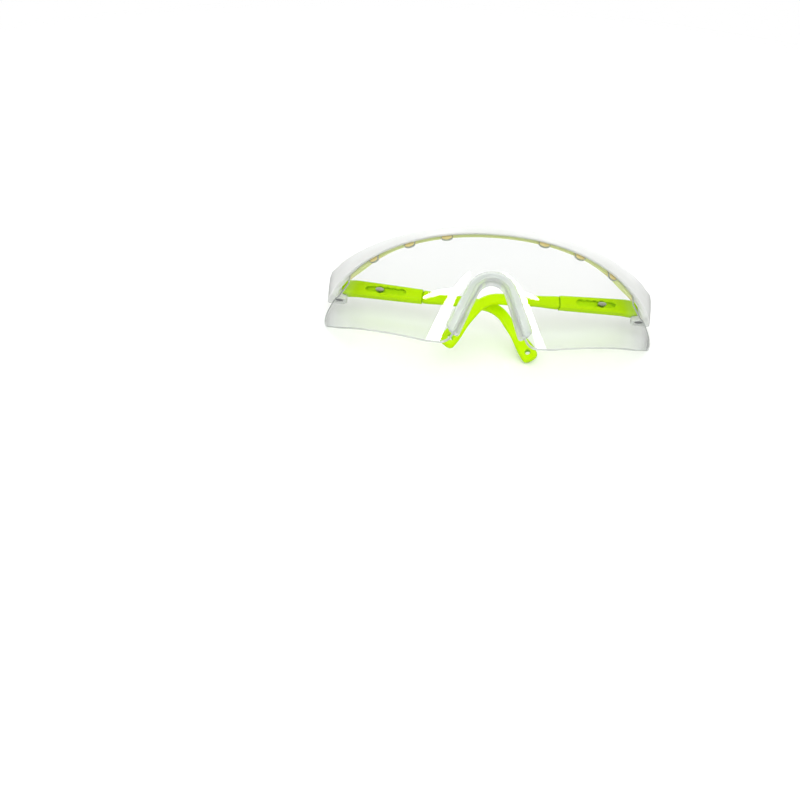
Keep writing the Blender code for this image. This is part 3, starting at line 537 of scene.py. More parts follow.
def bar_top(arc):
    return blend(BAR_TOP - BAR_FALL * (abs(arc) / FALL_ARC) ** BAR_FALL_POWER, POD_TOP, pod_share(arc))


def groove_edge(arc):
    """Height of the lens's top edge in the groove, bitten away at the vents."""
    for vent in VENT_ARCS:
        share = (abs(arc) - vent) / VENT_HALF_WIDTH
        if abs(share) < 1 - VENT_WALL / VENT_HALF_WIDTH / 2:
            return lip_bottom(vent) - VENT_DROP * sqrt(1 - share * share)
    return lip_bottom(arc) + GROOVE_DEPTH - GAP


arch_angles = [blend(pi / 2, LEG_ANGLE, i / ARCH_STEPS) for i in range(ARCH_STEPS)]
arch_middle = ARCH_TOP - ARCH_RADIUS
leg_start = Vector((ARCH_RADIUS * cos(LEG_ANGLE), arch_middle + ARCH_RADIUS * sin(LEG_ANGLE)))
nose_corner = Vector((leg_start.x + (leg_start.y - LENS_LOW) * tan(LEG_ANGLE), LENS_LOW))
lower_edge = [Vector((ARCH_RADIUS * cos(a), arch_middle + ARCH_RADIUS * sin(a))) for a in arch_angles]
lower_edge += rounded_path([leg_start, nose_corner, CHEEK, WING_LOW, (LENS_END, WING_TIP[0]),
                            (LENS_END, WING_TIP[1])], LOWER_RADII)
upper_edge = rounded_path(
    [(LENS_TOP_ARC, groove_edge(LENS_TOP_ARC)), (SHOULDER_ARC, lip_bottom(SHOULDER_ARC) - SHOULDER_DROP),
     *POD_BITE, (LENS_END, WING_TIP[2]), (LENS_END, WING_TIP[1])], UPPER_RADII)
print("lens edges:", len(lower_edge), "and", len(upper_edge), "points on each side")

# %% Lens
LENS_STEP = 0.75 * MM
LEAST_STEP = 0.03 * MM
VENT_STEPS = 20
LENS_BEVEL = 0.22 * MM
BEVEL_LIMIT = 4.0  # how much a steep edge may stretch its bevel
BEVEL_ROOM = 0.25  # share of the lens's height that a bevel may take
SLOPE_STEP = 0.02 * MM
LEVEL_FACE = 0.9  # a face that looks this much forward or back is no edge


def height_on(edge, arc):
    return float(np.interp(abs(arc), [p.x for p in edge[:-1]], [p.y for p in edge[:-1]]))


def lens_low(arc):
    return height_on(lower_edge, arc)


def lens_high(arc):
    return groove_edge(arc) if abs(arc) <= LENS_TOP_ARC else height_on(upper_edge, arc)


def edge_stretch(edge, arc):
    """How much further up or down a bevel reaches where the edge is steep."""
    inner, outer = min(abs(arc), LENS_END - SLOPE_STEP), min(abs(arc) + SLOPE_STEP, LENS_END)
    slope = (edge(outer) - edge(inner)) / (outer - inner)
    return min(sqrt(1 + slope * slope), BEVEL_LIMIT)


def lens_ring(arc):
    low, high = lens_low(arc), lens_high(arc)
    room = (high - low) * BEVEL_ROOM
    under = min(LENS_BEVEL * edge_stretch(lens_low, arc), room)
    over = min(LENS_BEVEL * edge_stretch(lens_high, arc), room)
    section = [(0, high - over), (0, low + under), (LENS_BEVEL, low), (LENS_THICKNESS - LENS_BEVEL, low),
               (LENS_THICKNESS, low + under), (LENS_THICKNESS, high - over),
               (LENS_THICKNESS - LENS_BEVEL, high), (LENS_BEVEL, high)]
    return [(arc, depth, height) for depth, height in section]


arcs = spaced(0, LENS_END, LENS_STEP) + [p.x for p in lower_edge + upper_edge]
for vent in VENT_ARCS:
    arcs += [vent + (VENT_HALF_WIDTH - VENT_WALL) * sin(pi / 2 * blend(-1, 1, i / VENT_STEPS))
             for i in range(VENT_STEPS + 1)]
    arcs += [vent - VENT_HALF_WIDTH, vent + VENT_HALF_WIDTH]
stations = []
for arc in sorted(arcs):
    if not stations or arc - stations[-1] > LEAST_STEP:
        stations.append(arc)
flat_lens = skin([lens_ring(arc) for arc in both_ways(stations)])
edge = flat_lens.attributes.new("edge", "FLOAT", "FACE")
for face, value in zip(flat_lens.polygons, edge.data):
    value.value = 0.0 if abs(face.normal.y) > LEVEL_FACE else 1.0
lens_mesh = laid_along(flat_lens, lens_points, LENS_LINE_END, FACE_LEAN, clear_plastic)
add_piece("lens_shield", lens_mesh, "frame", "lens", clear_plastic, crisp=20)

# %% [markdown]
# ## Nose piece
# A soft channel clips over the lens's nose cut-out. A flat lip lies on the front, a fine groove divides
# it from a rounded bead, and the pad behind swells towards the two feet. The section is carried down
# from the arch on each side and closes in a rounded bulb.

# %% Nose piece
NOSE_LEG_LENGTH = 17.1 * MM
NOSE_LEG_STEP = 0.8 * MM
NOSE_FOOT_ROUND = 2.0 * MM
NOSE_FOOT_STEPS = 8
NOSE_FOOT_KEEP = 0.3  # of the section left at the end of a foot
NOSE_LIP = (2.0 * MM, 3.3 * MM)  # at the arch and at the feet
NOSE_WEB = (1.9 * MM, 1.2 * MM)
NOSE_PAD = (4.8 * MM, 7.0 * MM)
NOSE_LIP_THICKNESS = 1.1 * MM
NOSE_GROOVE_WIDTH = 0.5 * MM
NOSE_GROOVE_DEPTH = 0.4 * MM
NOSE_GROOVE_PLACE = -0.25  # of the web
NOSE_PAD_TURNS = (0.4, 0.85, 0.75)  # shares of its depth where outer side, shoulder and inner side turn
NOSE_PAD_SHOULDER = 0.8 * MM
BEAD_EDGE = (0.2 * MM, 0.75)  # its depth, and its share of the web
NOSE_RADII = (0.1, 0.1, 0.1, 0.15, 0.4, 0.8, 0.9, 0.7, 0.4, 0.5, 0.12, 0.15, 0.12, 0.7)  # mm


def nose_edge(turn, run):
    """Point and outward direction on the right half of the nose cut-out."""
    outward = Vector((cos(turn), sin(turn)))
    point = Vector((0, arch_middle)) + outward * ARCH_RADIUS
    return point + Vector((sin(LEG_ANGLE), -cos(LEG_ANGLE))) * run, outward


def nose_section(share, keep):
    """Section as (across the edge, depth), from the arch's top at share 0 to the foot at 1."""
    lip, web = blend(*NOSE_LIP, share) * keep, blend(*NOSE_WEB, share) * keep
    back = LENS_THICKNESS + GAP
    pad = blend(back, blend(*NOSE_PAD, share), keep)
    face = -GAP - NOSE_LIP_THICKNESS * keep
    groove = NOSE_GROOVE_PLACE * web
    outer, shoulder, inner = [blend(back, pad, turn) for turn in NOSE_PAD_TURNS]
    corners = [(lip, -GAP), (-GAP, -GAP), (-GAP, back), (lip, back), (lip, outer),
               (lip - NOSE_PAD_SHOULDER * keep, shoulder), (-web / 2, pad), (-web, inner),
               (-web, face + BEAD_EDGE[0]), (-web * BEAD_EDGE[1], face),
               (groove - NOSE_GROOVE_WIDTH / 2 * keep, face), (groove, face + NOSE_GROOVE_DEPTH * keep),
               (groove + NOSE_GROOVE_WIDTH / 2 * keep, face), (lip, face)]
    return rounded_section(corners, [radius * MM for radius in NOSE_RADII])


def nose_ring(sign, turn, run, share, keep):
    edge, outward = nose_edge(turn, run)
    ring = []
    for across, depth in nose_section(share, keep):
        spot = edge + outward * across
        ring.append((sign * spot.x, depth, spot.y))
    return ring


arch_length = ARCH_RADIUS * (pi / 2 - LEG_ANGLE)
whole = arch_length + NOSE_LEG_LENGTH
nose_stations = [(a, 0.0, (pi / 2 - a) * ARCH_RADIUS / whole, 1.0) for a in arch_angles]
nose_stations += [(LEG_ANGLE, run, (arch_length + run) / whole, 1.0)
                  for run in spaced(0, NOSE_LEG_LENGTH, NOSE_LEG_STEP)]
nose_stations += [(LEG_ANGLE, NOSE_LEG_LENGTH + NOSE_FOOT_ROUND * over, 1.0, end_share(NOSE_FOOT_KEEP, over))
                  for over in quarter_turn(NOSE_FOOT_STEPS)]
nose_rings = [nose_ring(-1, *station) for station in reversed(nose_stations[1:])]
nose_rings += [nose_ring(1, *station) for station in nose_stations]
nose_mesh = laid_along(skin(nose_rings), lens_points, LENS_LINE_END, FACE_LEAN, soft_clear)
add_piece("nose_channel", nose_mesh, "frame", "nose_piece", soft_clear)

# %% [markdown]
# ## Brow bar
# One white moulding: a front lip, a roof that rises towards the back, a rib that holds the lens in a
# groove, and two hinge pods. Towards a pod the roof narrows to a shell, so that the temple can fold
# under it, and then thickens to a block that is cut for the temple's knuckle and the pin.

# %% Brow bar section
LIP_THICKNESS = 1.8 * MM
LIP_BULGE = 0.12 * MM
ROOF_DEPTH = 7.6 * MM
ROOF_RISE = 3.4 * MM
BAR_WALL = 1.3 * MM
RIB_THICKNESS = 1.1 * MM
RIB_DROP = 0.1 * MM
ROOF_FADE = (64 * MM, 78 * MM)  # arcs where the roof narrows to the shell
CLOSING = (72 * MM, 78 * MM)  # and where the groove closes
SHELL_DEPTH = 0.6 * MM
RIB_SHARES = (0.45, 0.7)  # of the depth left for the rib where the roof narrows
POD_DEPTH = 6.8 * MM
POD_RISE_SHARE = 0.25  # of the roof's slope
POD_BLOCK_LENGTH = 10.2 * MM
POD_BLOCK_BLEND = 2.6 * MM
POD_END_ROUND = 2.6 * MM
POD_END_INSET = 2.3 * MM
POD_END_STEPS = 8
CLOSED_GROOVE = 0.02 * MM
BAR_STEP = 0.9 * MM
BAR_RADII = ((0.45, 1.4), (2.0, 2.0), (0.6, 1.8), (0.6, 1.6), (0.3, 1.9), (0.3, 0.3), (0.2, 0.2), (0.2, 0.2),
             (0.1, 0.1), (0.1, 0.1), (0.2, 0.2))  # mm, open and closed


def roof_underside(arc, depth):
    return bar_top(arc) + ROOF_RISE * depth / ROOF_DEPTH - BAR_WALL


def bar_depth(arc):
    """Depth of the bar's rear edge: a roof, then only a shell, then a block round the hinge."""
    roof = blend(ROOF_DEPTH, SHELL_DEPTH, smooth_share(abs(arc), *ROOF_FADE))
    block_start = BROW_END - POD_BLOCK_LENGTH
    return blend(roof, POD_DEPTH, smooth_share(abs(arc), block_start, block_start + POD_BLOCK_BLEND))


def brow_section(arc):
    """Section of the brow bar as (depth, height)."""
    low, top = lip_bottom(arc), bar_top(arc)
    closed = smooth_share(abs(arc), *CLOSING)
    back = bar_depth(arc)
    back_top = top + ROOF_RISE * back / ROOF_DEPTH * blend(1, POD_RISE_SHARE, closed)
    rib_front = min(LENS_THICKNESS + GAP, RIB_SHARES[0] * back)
    rib_back = min(LENS_THICKNESS + GAP + RIB_THICKNESS, RIB_SHARES[1] * back)
    groove_top = low + blend(GROOVE_DEPTH, CLOSED_GROOVE, closed)
    rib_bottom = blend(groove_top - RIB_DROP, low, closed)
    front = -LIP_THICKNESS
    corners = [(front, low), (front - LIP_BULGE, (low + top) / 2), (front, top), (back, back_top),
               (back, blend(roof_underside(arc, back), low, closed)),
               (rib_back, blend(roof_underside(arc, rib_back), low + CLOSED_GROOVE, closed)),
               (rib_back, rib_bottom), (rib_front, rib_bottom), (rib_front, groove_top),
               (-GAP, groove_top), (-GAP, low)]
    section = rounded_section(corners, [blend(*pair, closed) * MM for pair in BAR_RADII])
    left = BROW_END - abs(arc)
    if left < POD_END_ROUND:
        inset = POD_END_INSET * (1 - sqrt(1 - (1 - max(left, 0) / POD_END_ROUND) ** 2))
        middle = Vector(((front + back) / 2, (low + top) / 2))
        keep = Vector((1 - 2 * inset / (back - front), 1 - 2 * inset / (top - low)))
        section = [middle + (point - middle) * keep for point in section]
    return section


round_start = BROW_END - POD_END_ROUND
brow_stations = spaced(0, round_start, BAR_STEP)
brow_stations += [round_start + POD_END_ROUND * over for over in quarter_turn(POD_END_STEPS)]
flat_bar = skin([[(arc, depth, height) for depth, height in brow_section(arc)]
                 for arc in both_ways(brow_stations)])
bar_mesh = laid_along(flat_bar, brow_points, BROW_END, FACE_LEAN, white_plastic)
print("brow bar before cutting:", len(bar_mesh.polygons), "faces")

# %% Hinge openings and brow bar
KNUCKLE_RADIUS = 2.6 * MM
HINGE_GAP = 0.6 * MM
SLOT_RELIEF = radians(55)  # of the pod's opening, past square
SLEEVE_ROOT_HEIGHT = 6.4 * MM
PIN_RADIUS = 0.9 * MM
PIN_HEAD_RADIUS = 1.5 * MM
PIN_HEAD_HEIGHT = 0.8 * MM
PIN_COVER = 1.0 * MM  # of the pod, above the pin
CUT_REACH = 12 * MM

pin_low = POD_BOTTOM - HINGE_HEIGHT + GAP
pin_high = POD_TOP - HINGE_HEIGHT - PIN_COVER


def hinge_slot(sign):
    """Opening of a pod: clear of the knuckle, and of the temple from folded to open."""
    hinge = hinge_place(sign)
    reach = KNUCKLE_RADIUS + HINGE_GAP
    inner = 2 * CUT_REACH
    plan = [(reach, -reach), (0, -reach), (-inner, -reach - inner * tan(SLOT_RELIEF)), (-inner, CUT_REACH),
            (reach, CUT_REACH)]
    half = SLEEVE_ROOT_HEIGHT / 2 + GAP
    return skin([[hinge + Vector((sign * x, y, height)) for x, y in plan] for height in (-half, half)])


def hinge_hole(sign):
    head_top = pin_low + PIN_HEAD_HEIGHT + GAP
    return turned([(PIN_HEAD_RADIUS + GAP, pin_low - CUT_REACH), (PIN_HEAD_RADIUS + GAP, head_top),
                   (PIN_RADIUS + GAP, head_top), (PIN_RADIUS + GAP, pin_high + GAP)],
                  Matrix.Translation(hinge_place(sign)))


bar_mesh = carved(bar_mesh, hinge_slot(-1), hinge_slot(1), hinge_hole(-1), hinge_hole(1))
add_piece("brow_moulding", bar_mesh, "frame", "brow_bar", white_plastic)

# %% [markdown]
# ## Brow pad
# A soft strip sits under the roof and keeps sweat out of the eyes. Its toe reaches forward under the
# rib to the lens, where it shows as a thin pale line below the white lip. Small lugs fill the vents. At
# the vents and beyond the lens it is bare, and there the material makes it tan. A value painted on the mesh
# tells the material where.

# %% Brow pad
PAD_END = 72 * MM
PAD_END_ROUND = 2.0 * MM
PAD_END_STEPS = 5
PAD_END_KEEP = 0.45  # of the section left at the end
PAD_TOE = LENS_THICKNESS + GAP
PAD_FRONT = PAD_TOE + RIB_THICKNESS + GAP
PAD_INSET = 0.4 * MM  # inside the roof's rear edge
PAD_LIFT = (-0.15 * MM, 0.15 * MM)  # above the lip's lower edge, in the middle and at the ends
PAD_SLOPE = (0.55, 0.85)  # of its underside, in the middle and at the ends
PAD_WALL = 0.9 * MM  # left of the pad at its rear edge
PAD_STEP = 0.5 * MM
PAD_RADII = (0.3, 0.2, 0.2, 0.2, 0.3, 0.8, 0.2, 0.2)  # mm
LUG_FRONT = 0.4 * MM  # depth where the lugs in the vents start
LUG_GAP = 0.25 * MM  # round the lugs
LUG_STEP = 0.03 * MM
BARE_BLEND = 0.6 * MM


def in_vent(arc):
    """True where a lug of the pad fills a vent."""
    return any(abs(abs(arc) - vent) < VENT_HALF_WIDTH - LUG_GAP for vent in VENT_ARCS)


def pad_ring(arc):
    outer = (arc / PAD_END) ** 2
    slope = blend(*PAD_SLOPE, outer)
    low = lip_bottom(arc) + blend(*PAD_LIFT, outer)
    toe_top = lip_bottom(arc) + GROOVE_DEPTH - RIB_DROP - GAP
    toe, toe_low = PAD_TOE, low
    if in_vent(arc):
        toe, toe_low = LUG_FRONT, min(low, groove_edge(arc) + LUG_GAP)
    pad_back = max(bar_depth(arc) - PAD_INSET, PAD_FRONT + PAD_INSET)
    rise = ROOF_RISE * (pad_back - PAD_FRONT) / ROOF_DEPTH
    front_top = roof_underside(arc, PAD_FRONT) - GAP
    back_low = min(low + slope * (pad_back - PAD_TOE), front_top + rise - PAD_WALL)
    corners = [(toe, toe_low), (toe, toe_top), (PAD_FRONT, toe_top), (PAD_FRONT, front_top),
               (pad_back, front_top + rise), (pad_back, back_low),
               (PAD_TOE + PAD_INSET, low + slope * PAD_INSET), (PAD_TOE + PAD_INSET / 2, toe_low)]
    section = rounded_section(corners, [radius * MM for radius in PAD_RADII], steps=6)
    keep = end_share(PAD_END_KEEP, max(abs(arc) - (PAD_END - PAD_END_ROUND), 0) / PAD_END_ROUND)
    middle = Vector(((PAD_TOE + pad_back) / 2, (low + toe_top) / 2))
    return [(arc, *(middle + (point - middle) * keep)) for point in section]


def bare_share(arc):
    """1 where the pad shows at a vent or beyond the lens, 0 behind the lens."""
    bare = smooth_share(abs(arc), LENS_TOP_ARC - BARE_BLEND, LENS_TOP_ARC + BARE_BLEND)
    for vent in VENT_ARCS:
        beside = abs(abs(arc) - vent) - VENT_HALF_WIDTH
        bare = max(bare, 1 - smooth_share(beside, -BARE_BLEND, BARE_BLEND))
    return bare


pad_stations = spaced(0, PAD_END - PAD_END_ROUND, PAD_STEP)
for vent in VENT_ARCS:
    for side in (vent - VENT_HALF_WIDTH + LUG_GAP, vent + VENT_HALF_WIDTH - LUG_GAP):
        pad_stations += [side - LUG_STEP, side + LUG_STEP]
pad_stations = sorted(pad_stations)
pad_stations += [PAD_END - PAD_END_ROUND * (1 - over) for over in quarter_turn(PAD_END_STEPS)]
flat_pad = skin([pad_ring(arc) for arc in both_ways(pad_stations)])
bare = flat_pad.attributes.new("bare", "FLOAT", "POINT")
for vertex, value in zip(flat_pad.vertices, bare.data):
    value.value = bare_share(vertex.co.x)
pad_mesh = laid_along(flat_pad, brow_points, BROW_END, FACE_LEAN, soft_lime)
brow_pad = add_piece("brow_foam", pad_mesh, "frame", "brow_pad", soft_lime)

# %% [markdown]
# ## Temples
# Each temple is a hollow sleeve and an ear piece whose tongue slides in it. The sleeve's inner wall has
# a scalloped slot, and the stud on the tongue clicks from lobe to lobe. The ear piece bends down behind
# the ear to a wide tip with a hole for a cord. They are modelled straight and laid along the temple's
# line by the same node tree.

# %% Temple line and helpers
TEMPLE_SLOPE = radians(5.9)
SLEEVE_ROOT_LENGTH = 7.0 * MM
SLEEVE_LENGTH = 35.0 * MM
BEND_START = 60.2 * MM
BEND_RADIUS = 14 * MM
BEND_STEP = radians(1.5)
HOOK_ANGLE = radians(56)
HOOK_LENGTH = 21.1 * MM
TONGUE_THICKNESS = 2.1 * MM
TONGUE_HEIGHT = 3.4 * MM
LINE_LEAD = 5 * MM  # of the line ahead of the hinge
TEMPLES = (("left", 1, -1, radians(-7)), ("right", -1, 1, radians(194.5)))  # outward, side and turn


def run_to(along):
    """Length along the temple's line at a distance along its straight part."""
    return along if along < SLEEVE_ROOT_LENGTH else (
        SLEEVE_ROOT_LENGTH + (along - SLEEVE_ROOT_LENGTH) / cos(TEMPLE_SLOPE))


def temple_points():
    points = [(x, 0.0) for x in spaced(-LINE_LEAD, SLEEVE_ROOT_LENGTH, LINE_STEP)]
    drop = tan(TEMPLE_SLOPE)
    points += [(x, -(x - SLEEVE_ROOT_LENGTH) * drop)
               for x in spaced(SLEEVE_ROOT_LENGTH, BEND_START, LINE_STEP)[1:]]
    x, y = points[-1]
    points += [(x + BEND_RADIUS * (sin(angle) - sin(TEMPLE_SLOPE)),
                y - BEND_RADIUS * (cos(TEMPLE_SLOPE) - cos(angle)))
               for angle in spaced(TEMPLE_SLOPE, HOOK_ANGLE, BEND_STEP)[1:]]
    x, y = points[-1]
    points += [(x + run * cos(HOOK_ANGLE), y - run * sin(HOOK_ANGLE))
               for run in spaced(0, HOOK_LENGTH, LINE_STEP)[1:]]
    return points


EAR_END = run_to(BEND_START) + BEND_RADIUS * (HOOK_ANGLE - TEMPLE_SLOPE) + HOOK_LENGTH


def bar_ring(run, thickness, height, radius):
    """Rounded rectangle across the temple as (run, up, across)."""
    x, y = height / 2, thickness / 2
    section = rounded_section([(x, y), (-x, y), (-x, -y), (x, -y)], [radius] * 4, steps=6)
    return [(run, up, across) for up, across in section]


def add_on_temple(name, straight, body, node, slot, surface, outward, sign, turn):
    """Lays a straight piece of (run, up, across) along the temple's line, and puts it on that temple."""
    mesh = laid_along(straight, temple_points(), LINE_LEAD, 0.0, surface)
    swap = Matrix(((1, 0, 0, 0), (0, 0, outward, 0), (0, 1, 0, 0), (0, 0, 0, 1)))
    place = Matrix.Translation(hinge_place(sign)) @ Matrix.Rotation(turn, 4, "Z") @ swap
    add_piece(name, mesh, body, node, surface, place)


print("a temple is", round(EAR_END / MM, 1), "mm along its line")

# %% Sleeves
SLEEVE_END_HEIGHT = 5.6 * MM
SLEEVE_END_THICKNESS = 4.7 * MM
SLEEVE_ROUND = 1.2 * MM
SLEEVE_STEP = 1.0 * MM
KNUCKLE_ANGLES = (8, 18, 28, 40, 52, 64, 77)
MOUTH_ROUND = 0.4 * MM
MOUTH_ANGLES = (30, 60, 90)
CAVITY_START = 9.2 * MM
LENGTH_STEP = 3.0 * MM
LENGTH_STEPS = 3
LOBE_POINTS = 12
STUD_PLACE = 17.0 * MM
STUD_HEAD = (1.8 * MM, 0.85 * MM)  # half its length and height
SLOT_NECK = STUD_HEAD[1] + 0.3 * MM
SLOT_LOBE = STUD_HEAD[1] + 0.7 * MM
SLOT_TIP = STUD_HEAD[0] + 0.4 * MM  # length of the slot's rounded ends
SLOT_TIP_ANGLES = (0.15, 0.4, 0.7, 1.0, 1.3)
SLOT_LEAD = 3.8 * MM
SLOT_BEVEL = 0.2 * MM


def slot_outline(grow):
    """Scalloped slot as (run, up): a plain lead-in, then a lobe for each length."""
    stud = run_to(STUD_PLACE)
    start, end = stud - SLOT_LEAD, stud + LENGTH_STEPS * LENGTH_STEP
    edge = [(start - (SLOT_TIP + grow) * cos(a), (SLOT_NECK + grow) * sin(a)) for a in SLOT_TIP_ANGLES]
    for run in spaced(start, end, LENGTH_STEP / LOBE_POINTS):
        wave = 0.5 + 0.5 * cos(2 * pi * (run - stud) / LENGTH_STEP)
        lobed = run > stud - LENGTH_STEP / 2
        edge.append((run, (blend(SLOT_NECK, SLOT_LOBE, wave) if lobed else SLOT_NECK) + grow))
    edge += [(end + (SLOT_TIP + grow) * cos(a), (SLOT_LOBE + grow) * sin(a)) for a in SLOT_TIP_ANGLES[::-1]]
    return edge + [(run, -up) for run, up in reversed(edge)]


def slot_cutter():
    face = -blend(KNUCKLE_RADIUS, SLEEVE_END_THICKNESS / 2, 0.5)  # of the sleeve, half way along
    levels = [(-TONGUE_THICKNESS / 2, 0), (face + SLOT_BEVEL, 0), (face, SLOT_BEVEL),
              (face - SLOT_BEVEL, 2 * SLOT_BEVEL)]
    return skin([[(run, up, across) for run, up in slot_outline(grow)] for across, grow in levels])


def sleeve_rings():
    rings = []
    for angle in KNUCKLE_ANGLES:
        share = radians(angle)
        rings.append(bar_ring(-KNUCKLE_RADIUS * cos(share), 2 * KNUCKLE_RADIUS * sin(share),
                              SLEEVE_ROOT_HEIGHT, SLEEVE_ROUND))
    end = run_to(SLEEVE_LENGTH)
    for run in spaced(0, end - MOUTH_ROUND, SLEEVE_STEP):
        share = max(run - SLEEVE_ROOT_LENGTH, 0) / (end - SLEEVE_ROOT_LENGTH)
        rings.append(bar_ring(run, blend(2 * KNUCKLE_RADIUS, SLEEVE_END_THICKNESS, share),
                              blend(SLEEVE_ROOT_HEIGHT, SLEEVE_END_HEIGHT, share), SLEEVE_ROUND))
    for angle in MOUTH_ANGLES:
        inset = MOUTH_ROUND * (1 - cos(radians(angle)))
        rings.append(bar_ring(end - MOUTH_ROUND * (1 - sin(radians(angle))), SLEEVE_END_THICKNESS - 2 * inset,
                              SLEEVE_END_HEIGHT - 2 * inset, SLEEVE_ROUND))
    return rings


for name, *arm in TEMPLES:
    cavity = skin([bar_ring(run, TONGUE_THICKNESS + 2 * GAP, TONGUE_HEIGHT + 2 * GAP, GAP)
                   for run in (CAVITY_START, SLEEVE_LENGTH + CUT_REACH)])
    pin_hole = turned([(PIN_RADIUS + GAP, -CUT_REACH), (PIN_RADIUS + GAP, CUT_REACH)],
                      Matrix.Rotation(pi / 2, 4, "X"))
    straight = carved(skin(sleeve_rings()), cavity, slot_cutter(), pin_hole)
    add_on_temple("sleeve_" + name, straight, "temple_" + name, "temple_sleeve_" + name, "lime_plastic",
                  lime_plastic, *arm)

# %% Ear pieces
TONGUE_START = 10.8 * MM
TONGUE_ROUND = 0.5 * MM
TONGUE_STEP = 2 * MM
EAR_START_SIZE = (4.0 * MM, 5.1 * MM)  # thickness and height
EAR_SIZE = (3.3 * MM, 4.4 * MM)
EAR_TAPER_END = 46 * MM
EAR_ROUND = 1.1 * MM
EAR_STEP = 0.8 * MM
SHOULDER_ROUND = 0.4 * MM
SHOULDER_ANGLES = (0, 30, 60, 90)
TIP_HEIGHT = 6.8 * MM
TIP_TAPER_LENGTH = 15 * MM
TIP_END_ROUND = 1.9 * MM
TIP_END_STEPS = 6
TIP_END_THINNING = 0.8 * MM
CORD_HOLE_RADIUS = 1.15 * MM
CORD_HOLE_FROM_END = 3.4 * MM
HOLE_BEVEL = 0.25 * MM
STUD_RADIUS = 0.7 * MM
STUD_HOLE_DEPTH = 1.5 * MM


def ear_size(run):
    """Thickness and height of the ear piece: tapered after the sleeve and spread at the tip."""
    start = smooth_share(run, run_to(SLEEVE_LENGTH), run_to(EAR_TAPER_END))
    left = EAR_END - run
    tip = smooth_share(TIP_TAPER_LENGTH - left, 0, TIP_TAPER_LENGTH - CORD_HOLE_FROM_END)
    thickness = blend(EAR_START_SIZE[0], EAR_SIZE[0], start)
    height = blend(blend(EAR_START_SIZE[1], EAR_SIZE[1], start), TIP_HEIGHT, tip)
    if left < TIP_END_ROUND:
        round_off = 1 - sqrt(max(1 - (1 - left / TIP_END_ROUND) ** 2, 0.0))
        height -= 2 * TIP_END_ROUND * round_off
        thickness -= TIP_END_THINNING * round_off
    return thickness, height


def ear_rings():
    shoulder = run_to(SLEEVE_LENGTH) + GAP
    rings = [bar_ring(run, TONGUE_THICKNESS, TONGUE_HEIGHT, TONGUE_ROUND)
             for run in spaced(TONGUE_START, shoulder, TONGUE_STEP)]
    thickness, height = ear_size(shoulder)
    for angle in SHOULDER_ANGLES:
        inset = SHOULDER_ROUND * (1 - sin(radians(angle)))
        rings.append(bar_ring(shoulder + SHOULDER_ROUND * (1 - cos(radians(angle))), thickness - 2 * inset,
                              height - 2 * inset, EAR_ROUND))
    runs = spaced(shoulder + SHOULDER_ROUND, EAR_END - TIP_END_ROUND, EAR_STEP)[1:]
    runs += [EAR_END - TIP_END_ROUND * (1 - over) for over in quarter_turn(TIP_END_STEPS)]
    return rings + [bar_ring(run, *ear_size(run), EAR_ROUND) for run in runs]


half = EAR_SIZE[0] / 2
hole_profile = [(CORD_HOLE_RADIUS + 2 * HOLE_BEVEL, -half - HOLE_BEVEL),
                (CORD_HOLE_RADIUS, -half + HOLE_BEVEL), (CORD_HOLE_RADIUS, half - HOLE_BEVEL),
                (CORD_HOLE_RADIUS + 2 * HOLE_BEVEL, half + HOLE_BEVEL)]
for name, *arm in TEMPLES:
    cord_hole = turned(hole_profile, Matrix.Translation((EAR_END - CORD_HOLE_FROM_END, 0, 0)))
    stud_hole = turned([(STUD_RADIUS + GAP, -CUT_REACH),
                        (STUD_RADIUS + GAP, STUD_HOLE_DEPTH - TONGUE_THICKNESS / 2)],
                       Matrix.Translation((run_to(STUD_PLACE), 0, 0)))
    straight = carved(skin(ear_rings()), cord_hole, stud_hole)
    add_on_temple("ear_piece_" + name, straight, "ear_" + name, "temple_ear_piece_" + name, "lime_plastic",
                  lime_plastic, *arm)

# %% [markdown]
# ## Studs and hinge pins
# Both are small steel pieces. The stud has a slightly domed oval head that stands a little proud of the
# sleeve, and the pin is turned, and pushed up through the pod from below.

# %% Studs and pins
STUD_PROUD = 0.25 * MM
DOME = 0.05 * MM
DOME_ANGLES = (0, 15, 30, 45, 60, 75, 87)
OVAL_STEPS = 40
PIN_BEVEL = 0.25 * MM

stud_share = (STUD_PLACE - SLEEVE_ROOT_LENGTH) / (SLEEVE_LENGTH - SLEEVE_ROOT_LENGTH)
stud_top = blend(KNUCKLE_RADIUS, SLEEVE_END_THICKNESS / 2, stud_share) + STUD_PROUD
head_base = TONGUE_THICKNESS / 2 + GAP
stud_ovals = [(STUD_RADIUS, STUD_RADIUS, TONGUE_THICKNESS / 2 - STUD_HOLE_DEPTH + GAP),
              (STUD_RADIUS, STUD_RADIUS, head_base), (*STUD_HEAD, head_base)]
stud_ovals += [(STUD_HEAD[0] * cos(radians(a)), STUD_HEAD[1] * cos(radians(a)),
                stud_top - DOME * (1 - sin(radians(a)))) for a in DOME_ANGLES]
pin_profile = [(PIN_HEAD_RADIUS - PIN_BEVEL, pin_low), (PIN_HEAD_RADIUS, pin_low + PIN_BEVEL),
               (PIN_HEAD_RADIUS, pin_low + PIN_HEAD_HEIGHT), (PIN_RADIUS, pin_low + PIN_HEAD_HEIGHT),
               (PIN_RADIUS, pin_high - PIN_BEVEL), (PIN_RADIUS - PIN_BEVEL, pin_high)]
oval_angles = [2 * pi * i / OVAL_STEPS for i in range(OVAL_STEPS)]
stud_axis = Matrix.Translation((run_to(STUD_PLACE), 0, 0)) @ Matrix.Rotation(pi, 4, "X")
for name, *arm in TEMPLES:
    straight = skin([[stud_axis @ Vector((long * cos(a), tall * sin(a), height)) for a in oval_angles]
                     for long, tall, height in stud_ovals])
    add_on_temple("stud_" + name, straight, "ear_" + name, "length_stud_" + name, "steel", steel, *arm)
    add_piece("pin_" + name, turned(pin_profile), "frame", "hinge_pin_" + name, steel,
              Matrix.Translation(hinge_place(arm[1])))

